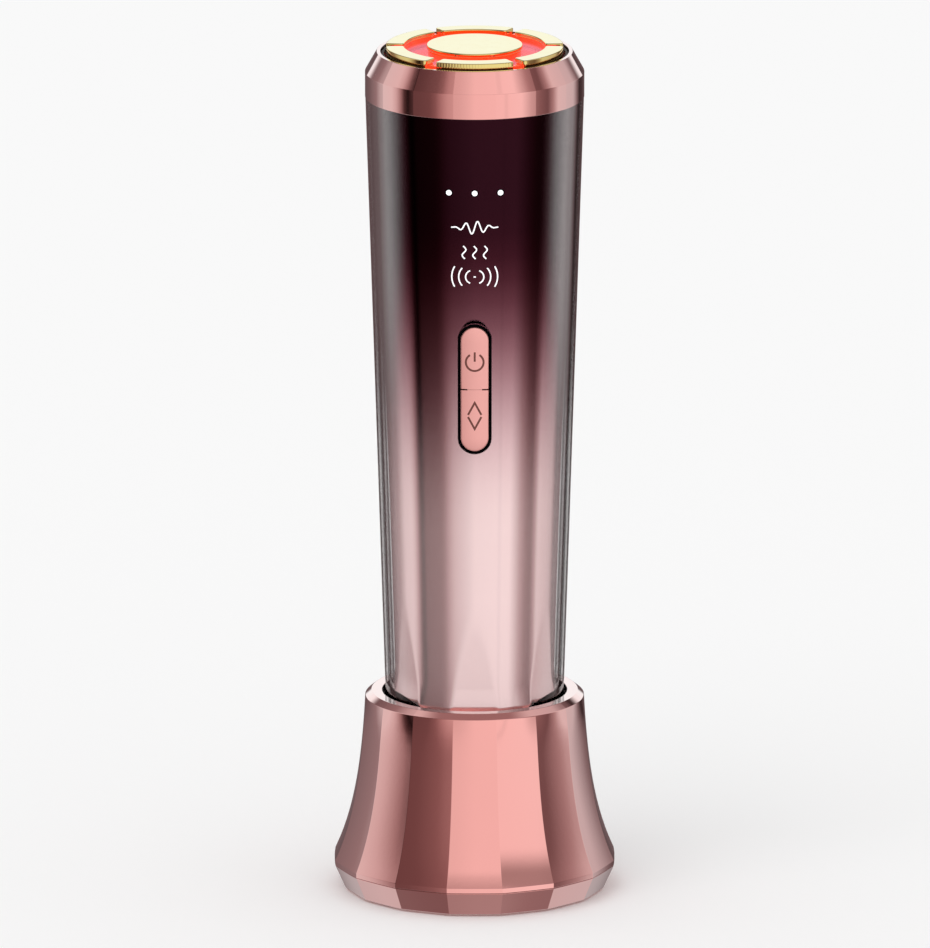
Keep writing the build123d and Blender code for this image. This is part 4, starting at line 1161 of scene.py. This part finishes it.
class WAND_OT_core(bpy.types.Operator):
    """Colour-faded core, six-sided and cut up at its tail"""
    bl_idname = "wand.core"
    bl_label = "Core"

    def execute(self, context):
        sizes = context.scene.wand_sizes
        low, high = span("inner_core")
        low -= sizes.core_drop
        fine_top = low + 30 * MM
        cut_height = 20 * MM
        fine_rows, coarse_rows, steps = 90, 36, 384
        heights = [low + (fine_top - low) * row / fine_rows for row in range(fine_rows)]
        heights += [fine_top + (high - fine_top) * row / coarse_rows for row in range(coarse_rows + 1)]
        turns = [FRONT + 2 * pi * step / steps for step in range(steps)]

        def lifted(height, turn):
            across = abs(sizes.core_tail * cos(turn))
            room = sizes.core_tail - sizes.tail_front
            lift = sizes.tail_lift * max(across - sizes.tail_front, 0) / room
            return height + lift * max(1 - (height - low) / cut_height, 0)

        def ring(height, inset):
            points = []
            for turn in turns:
                level = lifted(height, turn)
                spread = sizes.tail_flare * max(1 - (height - low) / sizes.tail_foot, 0) ** 2
                flat = polar(core_radius(sizes, level, turn) + spread - inset, turn)
                points.append(Vector((flat.x, flat.y, level)))
            return points

        rings = [ring(height, 0) for height in heights]
        rings += [ring(height, sizes.core_wall) for height in (high, (high + low) / 2, low)]
        core = Clay().skin(rings).piece("fading_core", crease=60.0)
        settle(core, "wand", "faded_core", "inner_core")
        return {"FINISHED"}


class WAND_OT_collar(bpy.types.Operator):
    """Faceted, plated collar round the head, and the black gasket inside it"""
    bl_idname = "wand.collar"
    bl_label = "Collar"

    def execute(self, context):
        head = context.scene.head_sizes
        low = box("outer_sleeve")[HIGH].z
        under, packed_top = span("head_collar")
        top = packed_top - head.lip_drop
        edge = low + head.side
        ledge = top - head.pocket
        flat = box("outer_sleeve")[HIGH].x + head.overhang
        top_flat = flat - head.chamfer_width
        pocket = top_flat - head.lip
        step_in, step_down = 2.3 * MM, 1.2 * MM
        spigot = flat - 3.2 * MM
        bore = spigot - 1.55 * MM
        outside = [(flat, low, CRISP), (flat, edge, SOFT), (top_flat, top, CRISP)]
        inside = [(pocket, top, CRISP), (pocket, ledge, 0), (pocket - step_in, ledge, 0),
                  (pocket - step_in, ledge - step_down, 0), (bore, ledge - step_down, 0),
                  (bore, under, 0), (spigot, under, 0), (spigot, low, 0)]
        innermost, lowest = top_flat - 0.3 * MM, low - 0.05 * MM
        rings = []
        for radius, height in softened(outside + inside):
            roundness = 0.0 if radius > innermost and height > lowest else 1.0
            rings.append(side_ring(radius, height, head.corner, head.crown, roundness))
        collar = Clay().skin(rings).piece("plated_collar")
        settle(even_shading(collar), "wand", "rose_plated", "head_collar")
        self.gasket()
        return {"FINISHED"}

    def gasket(self):
        """Black ring between the collar and the electrodes."""
        low, high = box("head_seal")
        outer = high.x
        inner = outer - 0.75 * MM
        seal = lathe("gasket", softened([(inner, low.z, 0), (outer, low.z, 0),
                                         (outer, high.z, SOFT), (inner, high.z, SOFT)]))
        settle(seal, "wand", "black_rubber", "head_seal")


class WAND_OT_electrodes(bpy.types.Operator):
    """Six arc electrodes and the round one in their middle"""
    bl_idname = "wand.electrodes"
    bl_label = "Electrodes"

    def execute(self, context):
        head = context.scene.head_sizes
        top = box("electrode_centre")[HIGH]
        for number in range(1, 7):
            self.arc(head, number, top.z + head.arc_lift)
        self.disc(head, top.x, top.z + head.disc_lift)
        return {"FINISHED"}

    def arc(self, head, number, top):
        """Arc electrode with its skirt; the front one is ribbed."""
        outer = -box("electrode_arc_1")[LOW].y
        inner = outer - head.arc_width
        under = top - head.plate
        turn = FRONT + (number - 1) * pi / 3
        ribs = head if number == 1 else None
        clay = Clay()

        def plate(inset):
            return arc_outline(inner, outer, head.arc_half_angle, head.arc_corner, turn, inset, ribs)

        rounded_slab(clay, plate, under, top, head.plate_edge)
        end_room, corner, overlap = 0.01, head.skirt_wall * 0.45, 0.05 * MM
        skirt = arc_outline(outer - head.skirt_wall, outer, head.arc_half_angle - end_room,
                            corner, turn, 0.0, ribs)
        clay.skin([raised(skirt, under - head.skirt), raised(skirt, under + overlap)], closed=False)
        arc = clay.piece(f"arc_{number}")
        settle(even_shading(arc), "wand", "gold_electrode", f"electrode_arc_{number}")

    def disc(self, head, radius, top):
        """Round electrode with the skirt under it."""
        low = box("electrode_centre")[LOW].z
        under = top - head.plate
        skirt = radius - 1.65 * MM
        outline = softened([(skirt - 0.8 * MM, low, 0), (skirt, low, 0), (skirt, under, 0),
                            (radius, under, 0.1 * MM), (radius, top, head.plate_edge),
                            (radius * 0.5, top, 0)])
        disc = lathe("centre_disc", outline, closed=False)
        settle(even_shading(disc), "wand", "gold_electrode", "electrode_centre")


class WAND_OT_light_floor(bpy.types.Operator):
    """Pink light guide: a floor with raised lands under the electrodes"""
    bl_idname = "wand.light_floor"
    bl_label = "Light guide"

    def execute(self, context):
        head = context.scene.head_sizes
        low, high = box("light_guide")
        ring = -box("electrode_arc_1")[LOW].y
        disc = box("electrode_centre")[HIGH].x
        hole = disc - 1.5 * MM
        floor_top = high.z - head.land
        root = floor_top - 0.3 * MM
        edge = 0.05 * MM
        floor = softened([(hole, low.z, 0), (high.x, low.z, 0), (high.x, floor_top, 0.15 * MM),
                          (hole, floor_top, 0.1 * MM)])
        clay = Clay()
        clay.skin([round_ring(*point) for point in floor])
        land_in, land_out = ring - head.arc_width + 0.3 * MM, ring - head.skirt_wall - 0.15 * MM
        land_half = head.arc_half_angle - 0.017
        bridge_in, bridge_out, bridge_half = ring - 2.2 * MM, ring - 0.9 * MM, radians(2.6)
        for number in range(6):
            turn = FRONT + number * pi / 3

            def land(inset, turn=turn):
                return arc_outline(land_in, land_out, land_half, 0.5 * MM, turn, inset)

            def bridge(inset, turn=turn + pi / 6):
                return arc_outline(bridge_in, bridge_out, bridge_half, 0.2 * MM, turn, inset)

            rounded_slab(clay, land, root, high.z, edge)
            rounded_slab(clay, bridge, root, high.z - 0.1 * MM, edge)
        under_disc = disc - 0.3 * MM
        outline = softened([(hole, root, 0), (under_disc, root, 0), (under_disc, high.z, edge),
                            (hole, high.z, 0)])
        clay.skin([round_ring(*point) for point in outline])
        settle(clay.piece("light_floor"), "wand", "pink_light_guide", "light_guide")
        return {"FINISHED"}


class WAND_OT_keys(bpy.types.Operator):
    """Rose key in its black ring, with the power sign and the two arrows"""
    bl_idname = "wand.keys"
    bl_label = "Keys"

    def execute(self, context):
        sizes = context.scene.wand_sizes
        keys = context.scene.key_sizes
        self.frame(sizes, keys)
        for side, body in ((1, "power_key"), (-1, "level_key")):
            self.key(sizes, keys, side, body)
        self.marks(sizes, keys)
        return {"FINISHED"}

    def frame(self, sizes, keys):
        """Black ring, with the flange behind it."""
        outer = keys.gap + keys.ring
        profile = softened([(keys.gap, -keys.flange, 0), (outer, -keys.flange, 0),
                            (outer, keys.ring_proud, CRISP), (keys.gap, keys.ring_proud, CRISP)])
        rings = [key_ring(sizes, keys, grow, proud) for grow, proud in profile]
        settle(Clay().skin(rings).piece("key_ring"), "wand", "key_black", "key_bezel")

    def key(self, sizes, keys, side, body):
        """One end of the key, cut from the whole at its middle."""
        reach = keys.width / 2 - 0.02 * MM
        edge_steps, face_rows = 5, 8
        rings = [key_ring(sizes, keys, 0, keys.proud - keys.thickness)]
        for step in range(edge_steps + 1):
            bend = pi / 2 * step / edge_steps
            rings.append(key_ring(sizes, keys, -keys.edge * (1 - cos(bend)),
                                  keys.proud - keys.pillow - keys.edge * (1 - sin(bend))))
        for row in range(1, face_rows + 1):
            part = row / face_rows
            inset = keys.edge + (reach - keys.edge) * part
            rings.append(key_ring(sizes, keys, -inset, keys.proud - keys.pillow * (1 - part) ** 2))
        key = Clay().skin(rings, closed=False).piece(f"{body}_cap")
        middle = key_middle(keys)
        self.halve(key, middle + side * keys.parting / 2, side)
        front = -sleeve_radius(sizes, middle)
        slits = []
        for across in (-1, 1):
            inner = across * (keys.width / 2 - keys.slit_length)
            outer = across * (keys.width / 2 + 1 * MM)
            slits.append(block("slit_cutter", inner, outer, front - 1 * MM, front + 3 * MM,
                               (middle - keys.slit / 2, middle + keys.slit / 2)))
        carve(key, slits)
        settle(key, body, "key_pink", body)

    def halve(self, key, level, side):
        """Keeps what lies above a level, or below it where side is -1, and closes the cut."""
        work = bmesh.new()
        work.from_mesh(key.data)
        cut = bmesh.ops.bisect_plane(
            work, geom=work.verts[:] + work.edges[:] + work.faces[:],
            plane_co=(0, 0, level), plane_no=(0, 0, side), clear_inner=True)
        edges = [item for item in cut["geom_cut"] if isinstance(item, bmesh.types.BMEdge)]
        bmesh.ops.edgeloop_fill(work, edges=edges)
        bmesh.ops.recalc_face_normals(work, faces=work.faces)
        work.to_mesh(key.data)
        work.free()

    def marks(self, sizes, keys):
        """Power sign on the upper end and two arrows on the lower end."""
        middle = key_middle(keys)
        sunk, thickness = 0.01 * MM, 0.03 * MM

        def place(across, up, lift):
            height = middle + up
            return on_front(sleeve_radius(sizes, height) + keys.proud - sunk + lift, across, height)

        radius, centre, opening, steps = 2.0 * MM, 6.4 * MM, radians(32), 40
        circle = []
        for step in range(steps + 1):
            turn = pi / 2 + opening + (2 * pi - 2 * opening) * step / steps
            circle.append((radius * cos(turn), centre + radius * sin(turn)))
        bar = [(0, centre + 0.15 * MM), (0, centre + 2.35 * MM)]
        half_arrow = 1.5 * MM
        arrows = [[(-half_arrow, root), (0, tip), (half_arrow, root)]
                  for root, tip in ((-5.85 * MM, -3.05 * MM), (-6.35 * MM, -9.15 * MM))]
        for name, paths, body in (("power_sign", [circle, bar], "power_key"),
                                  ("level_arrows", arrows, "level_key")):
            mark = printed(name, paths, keys.mark_line, thickness, place)
            settle(mark, body, "key_pink", finish="key_mark")


class WAND_OT_lights(bpy.types.Operator):
    """Three indicator lights and the plain printed symbols under them"""
    bl_idname = "wand.lights"
    bl_label = "Lights and symbols"

    def execute(self, context):
        sizes = context.scene.wand_sizes
        keys = context.scene.key_sizes
        self.lamps(sizes, keys)
        self.symbols(sizes, keys)
        return {"FINISHED"}

    def lamps(self, sizes, keys):
        """Domed ends of the light pipe, each in a dark ring."""
        height = box("outer_sleeve")[HIGH].z - keys.lamp_drop
        lamp, rim_out = keys.lamp_radius, keys.lamp_radius * 1.35
        dome = softened([(lamp, 2 * MM, 0), (lamp, -0.1 * MM, 0.06 * MM), (0.05 * MM, -0.12 * MM, 0)])
        rim = softened([(lamp, 0.5 * MM, 0), (rim_out, 0.5 * MM, 0),
                        (rim_out, -0.04 * MM, 0.03 * MM), (lamp, -0.06 * MM, 0.03 * MM)])
        pipe, rims = Clay(), Clay()
        for index in (-1, 0, 1):
            across = index * keys.lamp_pitch
            pipe.skin([self.front_ring(sizes, across, height, *point) for point in dome], closed=False)
            rims.skin([self.front_ring(sizes, across, height, *point) for point in rim])
        settle(pipe.piece("light_pipe"), "wand", "milky_pipe", "indicator_pipe")
        settle(rims.piece("light_rims"), "wand", "key_black")

    def front_ring(self, sizes, across, height, radius, depth):
        """Ring on the core's front, sunk by a depth."""
        steps = 32
        points = []
        for step in range(steps):
            turn = 2 * pi * step / steps
            up = height + radius * sin(turn)
            points.append(on_front(core_radius(sizes, up, FRONT) - depth, across + radius * cos(turn), up))
        return points

    def symbols(self, sizes, keys):
        """Three rows of plain signs: a pulse, rising warmth and sound."""
        top = box("outer_sleeve")[HIGH].z
        raised_by, thickness, front = 0.01 * MM, 0.02 * MM, -20 * MM

        def place(across, up, lift):
            radius = core_radius(sizes, up, atan2(front, across))
            return on_front(radius + raised_by + lift, across, up)

        pulse, warmth, sound = (top - drop for drop in (25.4 * MM, 31.2 * MM, 36.9 * MM))
        for name, paths in (("pulse_sign", self.pulse(pulse)), ("warmth_sign", self.warmth(warmth)),
                            ("sound_sign", self.sound(sound))):
            sign = printed(name, paths, keys.line, thickness, place)
            # The signs take a painted glow from their finish
            settle(sign, "wand", "milky_pipe", finish="white_print")

    def pulse(self, level):
        """Wave that swells towards its middle."""
        half_long, half_high, waves, steps = 5.3 * MM, 1.5 * MM, 4, 60
        wave = []
        for step in range(steps + 1):
            part = 2 * step / steps - 1
            swell = cos(part * pi / 2) ** 2
            wave.append((half_long * part, level + half_high * swell * sin(part * waves * pi)))
        return [wave]

    def warmth(self, level):
        """Three upright ripples."""
        pitch, sway, half_high, steps = 2.4 * MM, 0.42 * MM, 1.5 * MM, 24
        ripples = []
        for index in (-1, 0, 1):
            parts = [2 * step / steps - 1 for step in range(steps + 1)]
            ripples.append([(index * pitch + sway * sin(part * pi * 1.15), level + half_high * part)
                            for part in parts])
        return ripples

    def sound(self, level):
        """Three arcs on each side of a short dash."""
        pitch, apart, half_dash, steps = 1.55 * MM, 0.5 * MM, 0.25 * MM, 20
        arcs = []
        for side in (-1, 1):
            for ring in (1, 2, 3):
                radius = ring * pitch
                spread = radians(70) / ring ** 0.75
                turns = [spread * (2 * step / steps - 1) for step in range(steps + 1)]
                arcs.append([(side * (radius * cos(turn) + apart), level + radius * sin(turn))
                             for turn in turns])
        return arcs + [[(-half_dash, level), (half_dash, level)]]


class WAND_OT_hardware(bpy.types.Operator):
    """Finishes for the pieces that keep their packed shape"""
    bl_idname = "wand.hardware"
    bl_label = "Hardware"

    def execute(self, context):
        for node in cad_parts.values():
            for slot in node.material_slots:
                slot.material = finish_of(slot.material.name.split(".")[0])
        return {"FINISHED"}


class WAND_PT_panel(bpy.types.Panel):
    """Sidebar panel with the pieces and their sizes"""
    bl_label = "Facial care wand"
    bl_space_type = "VIEW_3D"
    bl_region_type = "UI"
    bl_category = "Wand"

    def draw(self, context):
        for operator in OPERATORS:
            self.layout.operator(operator.bl_idname)
        for name, group in SETTINGS.items():
            section = self.layout.box()
            section.label(text=group.__doc__)
            for prop in group.__annotations__:
                section.prop(getattr(context.scene, name), prop)


OPERATORS = (
    WAND_OT_studio, WAND_OT_hardware, WAND_OT_casing, WAND_OT_tray, WAND_OT_sleeve, WAND_OT_core,
    WAND_OT_collar, WAND_OT_light_floor, WAND_OT_electrodes, WAND_OT_keys, WAND_OT_lights,
)


def register():
    for group in SETTINGS.values():
        bpy.utils.register_class(group)
    for operator in (*OPERATORS, WAND_PT_panel):
        bpy.utils.register_class(operator)
    for name, group in SETTINGS.items():
        setattr(bpy.types.Scene, name, PointerProperty(type=group))


def unregister():
    for name in SETTINGS:
        delattr(bpy.types.Scene, name)
    for kind in (WAND_PT_panel, *OPERATORS, *SETTINGS.values()):
        bpy.utils.unregister_class(kind)


def main():
    register()
    bpy.ops.wand.studio()
    bpy.ops.wand.hardware()
    bpy.ops.wand.casing()
    bpy.ops.wand.tray()
    bpy.ops.wand.sleeve()
    bpy.ops.wand.core()
    bpy.ops.wand.collar()
    bpy.ops.wand.light_floor()
    bpy.ops.wand.electrodes()
    bpy.ops.wand.keys()
    bpy.ops.wand.lights()


if __name__ == "__main__":
    main()
